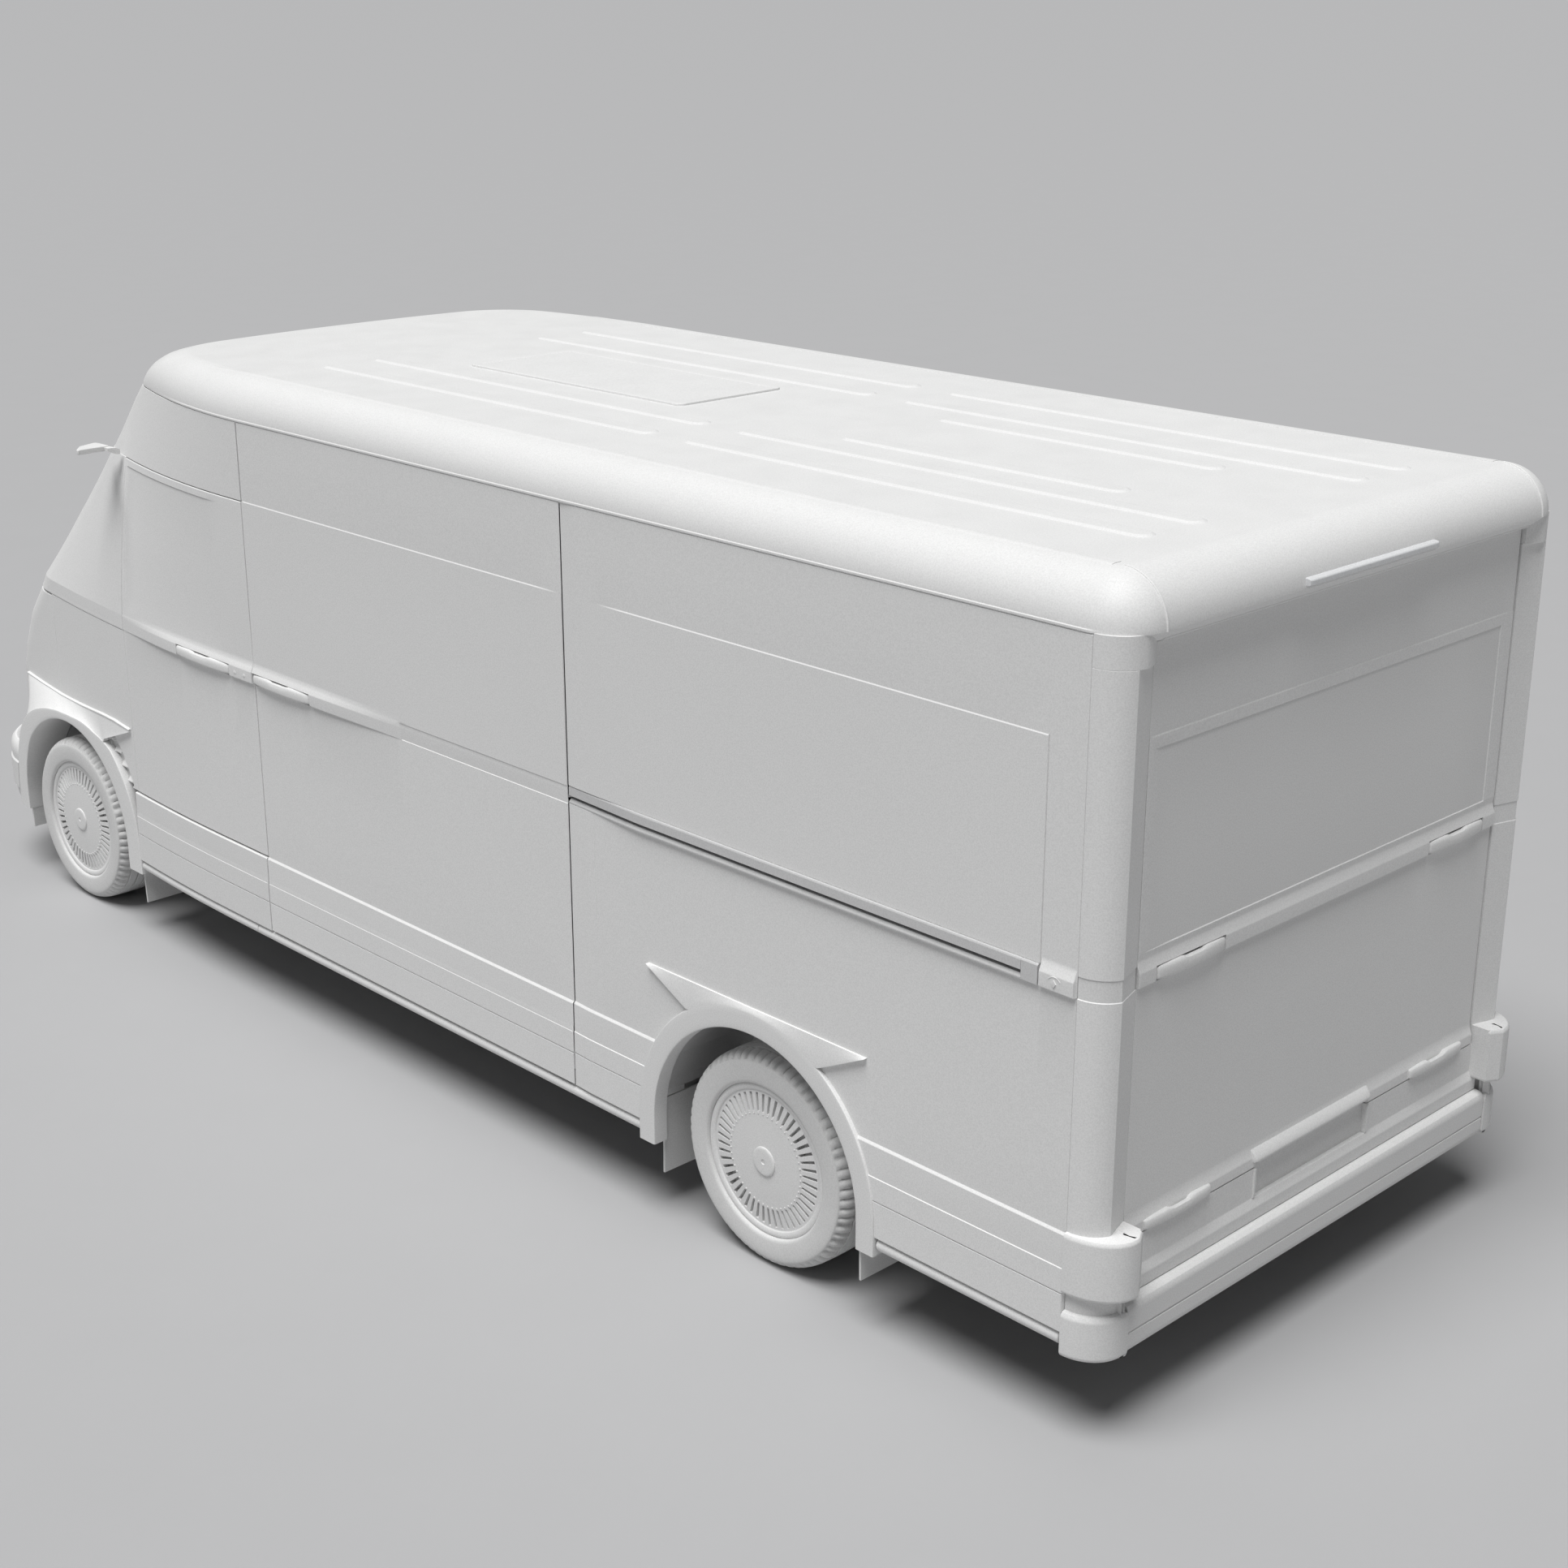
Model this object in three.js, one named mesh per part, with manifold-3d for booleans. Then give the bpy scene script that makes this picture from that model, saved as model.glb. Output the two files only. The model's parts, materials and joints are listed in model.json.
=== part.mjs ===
// Mail delivery van, in millimetres. +Z is up, the van faces -Y, and its left side is +X.
// The origin is the centre of its footprint, on the ground.
import * as THREE from "three";
import { mergeVertices } from "three/addons/utils/BufferGeometryUtils.js";
import { ConvexGeometry } from "three/addons/geometries/ConvexGeometry.js";
import Module from "manifold-3d";

const wasm = await Module();
wasm.setup();

// ---- Driving dimensions ----
const HALF_LENGTH = 3238;
const HALF_WIDTH = 1029;
const ROOF_Z = 2396;
const GUTTER_Z = 2256;
const SHOULDER = ROOF_Z - GUTTER_Z;
const CREASE_Z = 1971;
const BELT_LOW = 1296;
const BELT_HIGH = 1355;
const SKIRT_TOP = 618;
const SKIRT_LOW = 322;
const FLOOR_Z = 600;
const TYRE_R = 350;
const FRONT_AXLE = -2308;
const REAR_AXLE = 1879;
const WHEEL_X = 882;
const ARCH_R = 440;
const GAP = 4;
const DOOR_FRONT = -1748;
const CAB_REAR = -756;
const SLIDER_REAR = 1039;
const SIDE_REAR = 3079;
const LEAF_FACE = 3144;
const LEAF_HALF = 872;
const PANEL = 40;
const SLIDE_SLOPE = 0.055;

// ---- Solids ----
function solidOf(geometry) {
  const plain = geometry.index ? geometry.toNonIndexed() : geometry.clone();
  const bare = new THREE.BufferGeometry();
  bare.setAttribute("position", plain.getAttribute("position"));
  const merged = mergeVertices(bare, 1e-3);
  const vertProperties = merged.attributes.position.array;
  const triVerts = new Uint32Array(merged.index.array);
  return new wasm.Manifold(new wasm.Mesh({ numProp: 3, vertProperties, triVerts }));
}

function geometryOf(solid) {
  const mesh = solid.getMesh();
  const position = new Float32Array(mesh.numVert * 3);
  for (let i = 0; i < mesh.numVert; i++) {
    const start = i * mesh.numProp;
    position.set(mesh.vertProperties.subarray(start, start + 3), i * 3);
  }
  const geometry = new THREE.BufferGeometry();
  geometry.setAttribute("position", new THREE.BufferAttribute(position, 3));
  geometry.setIndex(new THREE.BufferAttribute(new Uint32Array(mesh.triVerts), 1));
  return geometry;
}

function box(x0, x1, y0, y1, z0, z1) {
  const g = new THREE.BoxGeometry(x1 - x0, y1 - y0, z1 - z0);
  return solidOf(g.translate((x0 + x1) / 2, (y0 + y1) / 2, (z0 + z1) / 2));
}

// A cylinder along X, with one corner of its polygon straight below the axis.
function rodX(radius, x0, x1, y, z, sides = 20) {
  const g = new THREE.CylinderGeometry(radius, radius, x1 - x0, sides);
  return solidOf(g.rotateZ(-Math.PI / 2).translate((x0 + x1) / 2, y, z));
}

// An outline of [a, b] points, extruded along an axis: along "z" they are x, y, along "x" they are y, z, and
// along "y" they are x, z.
function prism(points, axis, from, to) {
  const shape = new THREE.Shape(points.map(([a, b]) => new THREE.Vector2(a, b)));
  const g = new THREE.ExtrudeGeometry(shape, { depth: to - from, bevelEnabled: false });
  if (axis === "z") return solidOf(g.translate(0, 0, from));
  if (axis === "x") return solidOf(g.rotateY(Math.PI / 2).rotateX(Math.PI / 2).translate(from, 0, 0));
  return solidOf(g.rotateX(Math.PI / 2).translate(0, to, 0));
}

// A closed shell between two grids of points: rows of outer points and rows of inner points.
function shell(outer, inner) {
  const rows = outer.length;
  const cols = outer[0].length;
  const count = rows * cols;
  const index = [];
  const quad = (a, b, c, d) => index.push(a, b, c, a, c, d);
  const at = (i, j) => i * cols + j;
  for (let i = 0; i < rows - 1; i++) {
    for (let j = 0; j < cols - 1; j++) {
      quad(at(i, j), at(i, j + 1), at(i + 1, j + 1), at(i + 1, j));
      quad(count + at(i, j), count + at(i + 1, j), count + at(i + 1, j + 1), count + at(i, j + 1));
    }
  }
  for (let j = 0; j < cols - 1; j++) {
    quad(at(0, j), count + at(0, j), count + at(0, j + 1), at(0, j + 1));
    quad(at(rows - 1, j), at(rows - 1, j + 1), count + at(rows - 1, j + 1), count + at(rows - 1, j));
  }
  for (let i = 0; i < rows - 1; i++) {
    quad(at(i, 0), at(i + 1, 0), count + at(i + 1, 0), count + at(i, 0));
    quad(at(i, cols - 1), count + at(i, cols - 1), count + at(i + 1, cols - 1), at(i + 1, cols - 1));
  }
  const make = () => {
    const g = new THREE.BufferGeometry();
    const flat = [...outer, ...inner].flat(2);
    g.setAttribute("position", new THREE.Float32BufferAttribute(flat, 3));
    g.setIndex(index);
    return solidOf(g);
  };
  const made = make();
  if (made.volume() > 0) return made;
  for (let i = 0; i < index.length; i += 3) [index[i + 1], index[i + 2]] = [index[i + 2], index[i + 1]];
  return make();
}

function lathe(profile, sides) {
  const points = profile.map(([radius, along]) => new THREE.Vector2(radius, along));
  const g = new THREE.LatheGeometry(points, sides, Math.PI / 2);
  return solidOf(g.rotateZ(-Math.PI / 2));
}

function hull(points) {
  return solidOf(new ConvexGeometry(points.map(([x, y, z]) => new THREE.Vector3(x, y, z))));
}

// ---- The body's outer surface ----
function between(table, at) {
  for (let i = 1; i < table.length; i++) {
    const [a, va] = table[i - 1];
    const [b, vb] = table[i];
    if (at <= b) return va + ((vb - va) * Math.max(0, at - a)) / (b - a);
  }
  return table[table.length - 1][1];
}

// How hard the side curves in towards the front, where that begins, and where the corner begins.
const BEND = [[0, 0.048e-3], [BELT_HIGH, 0.048e-3], [CREASE_Z, 0.13e-3], [GUTTER_Z, 0.18e-3]];
const BEND_FROM = [[0, -1040], [BELT_HIGH, -1040], [CREASE_Z, -840], [GUTTER_Z, -740]];
const CORNER_Y = [
  [250, -2900], [700, -2900], [870, -2885], [973, -2828], [1140, -2700], [1310, -2500], [1655, -2195],
  [1990, -1865], [2180, -1700], [2256, -1610], [2300, -1560], [2340, -1505], [2375, -1435], [ROOF_Z, -1350],
];
const CORNER_R = 300;
const CORNER_END = THREE.MathUtils.degToRad(84);

function shoulderInset(z) {
  const rise = Math.min(SHOULDER, Math.max(0, z - GUTTER_Z));
  return SHOULDER - Math.sqrt(SHOULDER ** 2 - rise ** 2);
}

function sideX(y, z) {
  const ahead = Math.max(0, between(BEND_FROM, z) - y);
  return HALF_WIDTH - between(BEND, z) * ahead ** 2 - shoulderInset(z);
}

// Points round the front corner: part 0 is its start on the side, 1 is its end on the front.
function cornerPoint(z, part) {
  const y = between(CORNER_Y, z);
  const start = Math.atan(2 * between(BEND, z) * (between(BEND_FROM, z) - y));
  const angle = start + (CORNER_END - start) * part;
  const x = sideX(y, z) - CORNER_R * (Math.cos(start) - Math.cos(angle));
  return [x, y - CORNER_R * (Math.sin(angle) - Math.sin(start))];
}

// Points on the front: part 0 is the end of the corner, 1 is the centreline.
function frontPoint(z, part) {
  const [x, y] = cornerPoint(z, 1);
  const radius = x / Math.cos(CORNER_END);
  const angle = CORNER_END + (Math.PI / 2 - CORNER_END) * part;
  return [radius * Math.cos(angle), y + radius * (Math.sin(CORNER_END) - Math.sin(angle))];
}

function sidePath(yRear, yFront, steps) {
  return (z) =>
    Array.from({ length: steps + 1 }, (_, i) => {
      const y = yRear + ((yFront - yRear) * i) / steps;
      return [sideX(y, z), y];
    });
}

function mirrored(path) {
  return [...path, ...path.slice(0, -1).reverse().map(([x, y]) => [-x, y])];
}

// A shell that follows the body's surface at the heights zs. Its path runs forwards from the left side's rear.
// Offsets and thickness are along the plan normal.
function skin(zs, path, thickness, offset = () => 0) {
  const outer = [];
  const inner = [];
  for (const z of zs) {
    const line = path(z);
    const normals = line.map((_, i) => {
      const a = line[Math.max(0, i - 1)];
      const b = line[Math.min(line.length - 1, i + 1)];
      return new THREE.Vector2(a[1] - b[1], b[0] - a[0]).normalize();
    });
    const place = (by) =>
      line.map(([x, y], i) => {
        const out = by(y, z);
        return [x + normals[i].x * out, y + normals[i].y * out, z];
      });
    outer.push(place((y) => offset(y, z)));
    inner.push(place((y) => offset(y, z) - (typeof thickness === "function" ? thickness(y) : thickness)));
  }
  return shell(outer, inner);
}

// ---- Materials and the list of meshes ----
const PAINT = new THREE.MeshStandardMaterial({ color: 0xd2d2d2, roughness: 0.6, metalness: 0 });
const TRIM = new THREE.MeshStandardMaterial({ color: 0xc9c9c9, roughness: 0.7, metalness: 0 });
const GLASS = new THREE.MeshStandardMaterial({ color: 0xcdd0d2, roughness: 0.2, metalness: 0 });
const RUBBER = new THREE.MeshStandardMaterial({ color: 0xbdbdbd, roughness: 0.85, metalness: 0 });
const METAL = new THREE.MeshStandardMaterial({ color: 0xc4c4c4, roughness: 0.45, metalness: 0.4 });
const FABRIC = new THREE.MeshStandardMaterial({ color: 0xb6b6b6, roughness: 0.95, metalness: 0 });

const van = new THREE.Group();

function add(name, solid, material) {
  const mesh = new THREE.Mesh(geometryOf(solid), material);
  mesh.name = name;
  van.add(mesh);
  return mesh;
}

// The left piece is modelled, and the right one is its mirror image.
function addPair(name, solid, material) {
  add(name + "_left", solid, material);
  add(name + "_right", solid, material).scale.x = -1;
}

// ---- Wheel arches ----
const FRONT_ARCH_R = 545;
const REAR_ARCH_R = 512;
const ARCH_FOOT = 258;

function arc(centreY, radius, from, to, steps) {
  return Array.from({ length: steps + 1 }, (_, i) => {
    const angle = THREE.MathUtils.degToRad(from + ((to - from) * i) / steps);
    return [centreY + radius * Math.cos(angle), TYRE_R + radius * Math.sin(angle)];
  });
}

// The fender's outline from its rear foot over the crest to its front foot, as [y, z] points.
const FENDER = [
  [-1771, ARCH_FOOT], [-1771, 440], [-1771, 619], [-1765, 876], [-1905, 884], [-2030, 881], [-2240, 868],
  [-2460, 858], [-2700, 854], [-2880, 850], ...arc(FRONT_AXLE, FRONT_ARCH_R, 148, 180, 4), [-2845, 285],
];
const REAR_RING = [[2383, ARCH_FOOT], ...arc(REAR_AXLE, REAR_ARCH_R, 0, 180, 14), [1375, ARCH_FOOT]];
const REAR_CREST = [[2345, 873], [1413, 873], [1600, 781], [1690, 740], [2068, 740], [2158, 781]];

// A lip round a wheel arch: a flat ring at faceX, then a slope to the outline, where it stands proud of the body.
function archLip(outline, axleY, ringR, faceX, proud, flangeX) {
  const rows = { outer: [], inner: [] };
  for (const [y, z] of outline) {
    const radius = Math.hypot(y - axleY, z - TYRE_R);
    const onRay = (r) => [axleY + ((y - axleY) * r) / radius, TYRE_R + ((z - TYRE_R) * r) / radius];
    const [ay, az] = onRay(ARCH_R);
    const [my, mz] = onRay(Math.min(radius, ringR) - 10);
    const edgeX = radius < ringR + 20 ? faceX(y) - 4 : sideX(y, z) + proud;
    rows.outer.push([[faceX(ay) - 4, ay, az], [faceX(my), my, mz], [edgeX, y, z]]);
    rows.inner.push([[flangeX, ay, az], [sideX(my, mz) - PANEL - 5, my, mz], [sideX(y, z) - PANEL, y, z]]);
  }
  return shell(rows.outer, rows.inner);
}

// An outline moved outwards by a distance, with its points in anticlockwise order.
function grown(outline, by) {
  return outline.map(([y, z], i) => {
    const [py, pz] = outline[(i + outline.length - 1) % outline.length];
    const [ny, nz] = outline[(i + 1) % outline.length];
    const before = new THREE.Vector2(z - pz, py - y).normalize();
    const after = new THREE.Vector2(nz - z, y - ny).normalize();
    const mitre = by / (1 + before.dot(after));
    return [y + (before.x + after.x) * mitre, z + (before.y + after.y) * mitre];
  });
}

// The space of an arch and its lip, with a shut gap round it, to cut out of a panel.
function archCutter(outline) {
  const [first, last] = [outline[0], outline[outline.length - 1]];
  return prism(grown([...outline, [last[0], 200], [first[0], 200]], 1.5), "x", 500, 1200);
}

const frontCutter = archCutter(FENDER);
const rearCutter = archCutter(REAR_RING).add(prism(grown(REAR_CREST, 1.5), "x", 500, 1200));

function rearArchTrim() {
  const crest = prism(REAR_CREST, "x", HALF_WIDTH - PANEL, HALF_WIDTH + 15);
  const opening = rodX(ARCH_R + 1, 900, 1100, REAR_AXLE, TYRE_R, 56);
  const ring = archLip(REAR_RING, REAR_AXLE, REAR_ARCH_R, () => HALF_WIDTH + 15, 15, 988);
  const rearFlap = box(760, 1028, 2319, 2331, 150, 300);
  const frontFlap = box(720, 1000, 1419, 1431, 135, 300);
  return ring.add(crest.subtract(opening)).add(rearFlap).add(frontFlap);
}

// The front fender's face is flat over the wheel and draws in ahead of it.
const FLARE_X = [[-2853, 985], [-2650, 1012], [-1700, 1015]];
const frontFace = (y) => between(FLARE_X, y);

function frontFender() {
  const flap = box(835, 984, -2764, -2752, 200, 330);
  return archLip(FENDER, FRONT_AXLE, FRONT_ARCH_R, frontFace, 12, 830).add(flap);
}

addPair("front_fender", frontFender(), PAINT);
addPair("rear_arch_trim", rearArchTrim(), TRIM);

// ---- Side panels, skirts and rails ----
const SKIRT_PROUD = 8;
const TUBE_Z = 297;
const TUBE_R = 24;

// The belt strip swells round the door handles and fades out ahead of them and behind them.
const STRIP = [[DOOR_FRONT, 0], [-1353, 12], [-384, 12], [200, 0]];

// How far the skirt and the belt strip stand out of the body's surface.
function doorRelief(y, z) {
  if (z < SKIRT_TOP - 2) return SKIRT_PROUD;
  if (z >= BELT_LOW && z <= BELT_HIGH - 15) return between(STRIP, y);
  return 0;
}

const skirtRelief = (y, z) => (z < SKIRT_TOP - 2 ? SKIRT_PROUD : 0);

// The panel behind the sliding door dips at its front edge, so that the door's thin edge passes over it.
const DIP = 80;
const dippedRelief = (y, z) => skirtRelief(y, z) - GAP * Math.max(0, 1 - (y - SLIDER_REAR - GAP) / DIP);

const RAIL_REAR = 2955;
const RAIL_BACK_X = 905;
const SLOT_LOW = 1309;
const SLOT_HIGH = 1323;

function rockerTube(y0, y1) {
  const sections = [0, 1 / 3, 2 / 3, 1].map((part) => {
    const y = y0 + (y1 - y0) * part;
    return Array.from({ length: 13 }, (_, i) => {
      const angle = (i * Math.PI) / 6;
      const x = sideX(y, TUBE_Z) - 17 + TUBE_R * Math.cos(angle);
      return [x, y, TUBE_Z + TUBE_R * Math.sin(angle)];
    });
  });
  return hull(sections.flatMap((s) => s.slice(0, 12)));
}

function sidePanel(yFront, relief) {
  const ys = [SIDE_REAR - GAP / 2, 2700, 2379, REAR_AXLE, 1379, SLIDER_REAR + DIP, yFront];
  const path = (z) => ys.map((y) => [sideX(y, z), y]);
  const zs = [SKIRT_LOW, 616, 620, 900, CREASE_Z, GUTTER_Z - GAP];
  const plate = skin(zs, path, PANEL, relief);
  const rearTube = rockerTube(2400, 3072);
  return plate.subtract(rearCutter).add(rearTube).add(box(985, 1030, 2402, 3070, 305, 330));
}

function railCut() {
  return box(800, 1200, 900, RAIL_REAR + 1, BELT_LOW - 1, BELT_HIGH + 1);
}

function slideRail() {
  const rise = SLIDER_REAR + GAP;
  const front = [[1040.5, rise + 340], [1024.5, rise]];
  const face = [[RAIL_BACK_X, rise], [RAIL_BACK_X, RAIL_REAR], [1040.5, RAIL_REAR], ...front];
  const body = prism(face, "z", BELT_LOW, BELT_HIGH);
  return body.subtract(box(RAIL_BACK_X + 10, 1200, 900, RAIL_REAR - 40, SLOT_LOW, SLOT_HIGH));
}

add("side_panel_left", sidePanel(SLIDER_REAR + GAP, dippedRelief).subtract(railCut()), PAINT);
add("slide_rail_left", slideRail(), METAL);
add("side_panel_right", sidePanel(CAB_REAR + GAP, skirtRelief), PAINT).scale.x = -1;

function rockerSkirt(tubeRear) {
  const plate = skin([305, 460, SKIRT_TOP - 3], sidePath(CAB_REAR - GAP, -1767, 3), 30, () => SKIRT_PROUD);
  return plate.add(rockerTube(-1766, tubeRear));
}
addPair("rocker_skirt", rockerSkirt(1368), TRIM);

// ---- Cab sides ----
const PILLAR_PART = 0.33;

function cabSide() {
  const pillar = (yRear) => (z) => {
    const corner = between(CORNER_Y, z);
    const side = [0, 1, 2].map((i) => {
      const y = yRear + ((corner - yRear) * i) / 3;
      return [sideX(y, z), y];
    });
    return [...side, ...[0, 0.5, 1].map((part) => cornerPoint(z, part * PILLAR_PART))];
  };
  const low = skin([860, 1000, 1150, 1300], sidePath(DOOR_FRONT - GAP, -2470, 3), PANEL);
  const middle = skin([1292, 1450, 1655, 1820, 1985], pillar(DOOR_FRONT - GAP), PANEL);
  const high = skin([CREASE_Z + GAP, 2080, 2180, GUTTER_Z - GAP], pillar(CAB_REAR - GAP), PANEL);
  const wingBase = box(880, 922, -1795, -1745, 1980, 2010);
  return low.subtract(frontCutter).add(middle).add(high).add(wingBase);
}
addPair("cab_side", cabSide(), PAINT);

const NOSE_TOP = 1285;
const NOSE_LOW = 572;

function frontPath(z, yRear, from) {
  const side = yRear === null ? [] : [0, 0.5].map((part) => {
    const y = yRear + (between(CORNER_Y, z) - yRear) * part;
    return [sideX(y, z), y];
  });
  const corner = [0, 0.25, 0.5, 0.75, 1].map((part) => cornerPoint(z, from + (1 - from) * part));
  return mirrored([...side, ...corner, frontPoint(z, 0.5), frontPoint(z, 1)]);
}

const bothSides = (cutter) => cutter.add(cutter.mirror([1, 0, 0]));

function nosePanel() {
  const zs = [NOSE_LOW, 700, 870, 973, 1060, 1140, 1215, NOSE_TOP];
  const panel = skin(zs, (z) => frontPath(z, -2474, 0), PANEL);
  return panel.subtract(bothSides(frontCutter));
}
add("nose_panel", nosePanel(), PAINT);

function windscreen() {
  const zs = [1292, 1450, 1655, 1820, 1990, 2180, GUTTER_Z - GAP];
  return skin(zs, (z) => frontPath(z, null, PILLAR_PART + 0.03), 25, () => -3);
}
add("windscreen", windscreen(), GLASS);

// The bumper's plan runs on from the fender's face, round a corner, to the bowed front.
function bumperPath() {
  const radius = 370;
  const [sideAt, cornerAt] = [985, -2815];
  const corner = [0, 0.2, 0.4, 0.6, 0.8, 1].map((part) => {
    const angle = CORNER_END * part;
    return [sideAt - radius * (1 - Math.cos(angle)), cornerAt - radius * Math.sin(angle)];
  });
  return mirrored([[sideAt, -2780], ...corner, [330, 3 - HALF_LENGTH], [0, -HALF_LENGTH]]);
}

function frontBumper() {
  const drawnIn = { 255: 45, 300: 15, 420: 0, 520: 0, 566: 25 };
  const zs = Object.keys(drawnIn).map(Number);
  const made = skin(zs, bumperPath, 120, (y, z) => -drawnIn[z]);
  return made.subtract(bothSides(frontCutter));
}
add("front_bumper", frontBumper(), TRIM);

function headlight() {
  const path = (z) => [0.5, 0.65, 0.8, 0.95].map((part) => cornerPoint(z, part));
  return skin([730, 800, 870, 925], path, 8, () => 14);
}
addPair("headlight", headlight(), GLASS);

// ---- Roof ----
function roofOutline(z, inset) {
  const ends = SHOULDER - shoulderInset(z);
  const centre = [HALF_WIDTH - SHOULDER, 3194 - SHOULDER];
  const rear = Array.from({ length: 5 }, (_, i) => {
    const angle = ((4 - i) * Math.PI) / 8;
    return [centre[0] + ends * Math.cos(angle), centre[1] + ends * Math.sin(angle)];
  });
  const side = [-300, -740, -1050].map((y) => [sideX(y, z), y]);
  const front = [0, 0.3, 0.6, 1].map((part) => cornerPoint(z, part));
  const half = [...rear, ...side, ...front, frontPoint(z, 0.5), frontPoint(z, 1)];
  const shrink = (v, by) => (Math.abs(v) > by ? v - Math.sign(v) * by : 0);
  return mirrored(half).map(([x, y]) => [shrink(x, inset), shrink(y, inset)]);
}

const ROOF_LEVELS = [GUTTER_Z, 2300, 2340, 2375, 2390, ROOF_Z];

function roofSolid(inset) {
  const points = ROOF_LEVELS.flatMap((z) => roofOutline(z, inset).map(([x, y]) => [x, y, z - inset]));
  return hull(points);
}

function roofPanel() {
  const below = box(-1300, 1300, -3000, 3400, 1500, GUTTER_Z);
  const header = box(-868, 868, 3110, 3172, 2228, 2262);
  return roofSolid(0).subtract(roofSolid(38)).subtract(below).add(header);
}
add("roof_panel", roofPanel(), PAINT);

function roofHatch() {
  const round = 30;
  const [halfX, y0, y1] = [237, -447, 700];
  const corners = [[halfX, y0], [halfX, y1], [-halfX, y1], [-halfX, y0]];
  const outline = corners.flatMap(([x, y]) => {
    const [sx, sy] = [Math.sign(x), y === y0 ? -1 : 1];
    const a = [x - sx * round, y];
    const b = [x, y - sy * round];
    return sx * sy > 0 ? [b, a] : [a, b];
  });
  return prism(outline, "z", ROOF_Z + 0.4, ROOF_Z + 8);
}
add("roof_hatch", roofHatch(), TRIM);

function rearPod() {
  const section = [[3150, 2258], [3206, 2262], [3212, 2272], [3206, 2288], [3150, 2306]];
  const outer = roofSolid(0).translate([0, 0.5, 0.5]);
  return prism(section, "x", -310, 310).subtract(outer).subtract(box(-400, 400, 3100, 3195, 2200, 2400));
}
add("rear_camera_pod", rearPod(), GLASS);

// ---- Rear corners and bumper ----
// A corner's plan outline: an arc about the pillar's centre, turning by turn degrees, then flat facets to the
// leaf's edge. It stands out of the pillar by reachX sideways and by reachY to the rear.
function cornerPrism(reachX, reachY, turn, facets, depth, z0, z1) {
  const outline = [];
  for (let i = 0; i <= 6; i++) {
    const angle = THREE.MathUtils.degToRad((turn * i) / 6);
    const x = HALF_WIDTH - 100 + (100 + reachX) * Math.cos(angle);
    outline.push([x, 3081 + (100 + reachY) * Math.sin(angle)]);
  }
  const [edgeX, edgeY] = facets[facets.length - 1];
  outline.push(...facets, [edgeX, edgeY - 70], [HALF_WIDTH - depth, 3110], [HALF_WIDTH - depth, 3081]);
  return prism(outline, "z", z0, z1);
}

const LEAF_EDGE = LEAF_HALF + 8;
addPair("rear_pillar", cornerPrism(0, 0, 69, [[LEAF_EDGE, 3148]], 48, SKIRT_TOP + 10, GUTTER_Z - GAP), PAINT);
const guardFacets = [[915, HALF_LENGTH], [LEAF_EDGE, 3215]];
addPair("corner_guard", cornerPrism(14, HALF_LENGTH - 3181, 90, guardFacets, 30, 445, SKIRT_TOP + 7), TRIM);

function bumperEndCap() {
  const cap = cornerPrism(12, 24, 90, [[907, 3205], [LEAF_EDGE, 3200]], 70, 252, 388);
  const neck = cornerPrism(0, 4, 90, [[912, 3185], [LEAF_EDGE, 3180]], 60, 380, 442);
  return cap.add(neck).intersect(box(907, 1100, 3000, 3300, 200, 500));
}
addPair("bumper_end_cap", bumperEndCap(), TRIM);

// The number plate's recess runs over the sill and the foot of the leaf.
const PLATE_Y = 3140;

function rearBumperStep() {
  const beam = [
    [3085, 252], [3192, 252], [3201, 275], [3201, 380], [3194, 402], [3176, 414], [3152, 420], [3085, 420],
  ];
  const sill = [[3085, 400], [3166, 400], [3166, 436], [3154, 466], [3154, 558], [3060, 558], [3060, 500]];
  const recess = box(-283, 283, PLATE_Y, 3200, 463, 600);
  return prism(beam, "x", -904, 904).add(prism(sill, "x", -878, 878)).subtract(recess);
}
add("rear_bumper_step", rearBumperStep(), TRIM);

// ---- Chassis, floors and inner structure ----
function floorOutline() {
  const half = [
    [880, -700], [880, SLIDER_REAR], [982, SLIDER_REAR + 10], [982, 1420], [630, 1420], [630, 2338], [982, 2338],
    [982, 3050], [868, 3055], [868, 3098],
  ];
  return [...half, ...half.map(([x, y]) => [-x, y]).reverse()];
}

// A half-round cup over a wheel, open outwards, from x0 (its inner wall) to x1.
function wheelTub(axleY, x0, x1, floor) {
  const cup = rodX(462, x0, x1, axleY, TYRE_R, 24).subtract(rodX(448, x0 + 12, x1 + 50, axleY, TYRE_R, 24));
  return cup.intersect(box(x0, x1, axleY - 600, axleY + 600, floor, 1000));
}

function cargoFloor() {
  const slab = prism(floorOutline(), "z", FLOOR_Z - 40, FLOOR_Z);
  const tub = wheelTub(REAR_AXLE, 622, 984, 430);
  return slab.add(tub).add(tub.mirror([1, 0, 0]));
}
add("cargo_floor", cargoFloor(), METAL);

function cabFloor() {
  const half = [[880, -745], [880, -1830], [580, -1835], [580, -2780]];
  const slab = prism([...half, ...half.map(([x, y]) => [-x, y]).reverse()], "z", FLOOR_Z - 40, FLOOR_Z);
  const tub = wheelTub(FRONT_AXLE, 572, 822, 430);
  const pedestal = box(300, 660, -1280, -900, FLOOR_Z - 5, 898);
  return slab.add(tub).add(tub.mirror([1, 0, 0])).add(pedestal);
}
add("cab_floor", cabFloor(), METAL);

add("battery_tray", box(-880, 880, -1740, 1400, 235, FLOOR_Z - 42), METAL);
add("bulkhead", box(-880, 880, -738, -705, FLOOR_Z + 1, GUTTER_Z - 6), METAL);

function frontSubframe() {
  const arms = box(-680, 680, FRONT_AXLE - 45, FRONT_AXLE + 45, 262, 300);
  return box(-520, 520, -2700, -1745, 260, 520).add(arms);
}
add("front_subframe", frontSubframe(), METAL);

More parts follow.
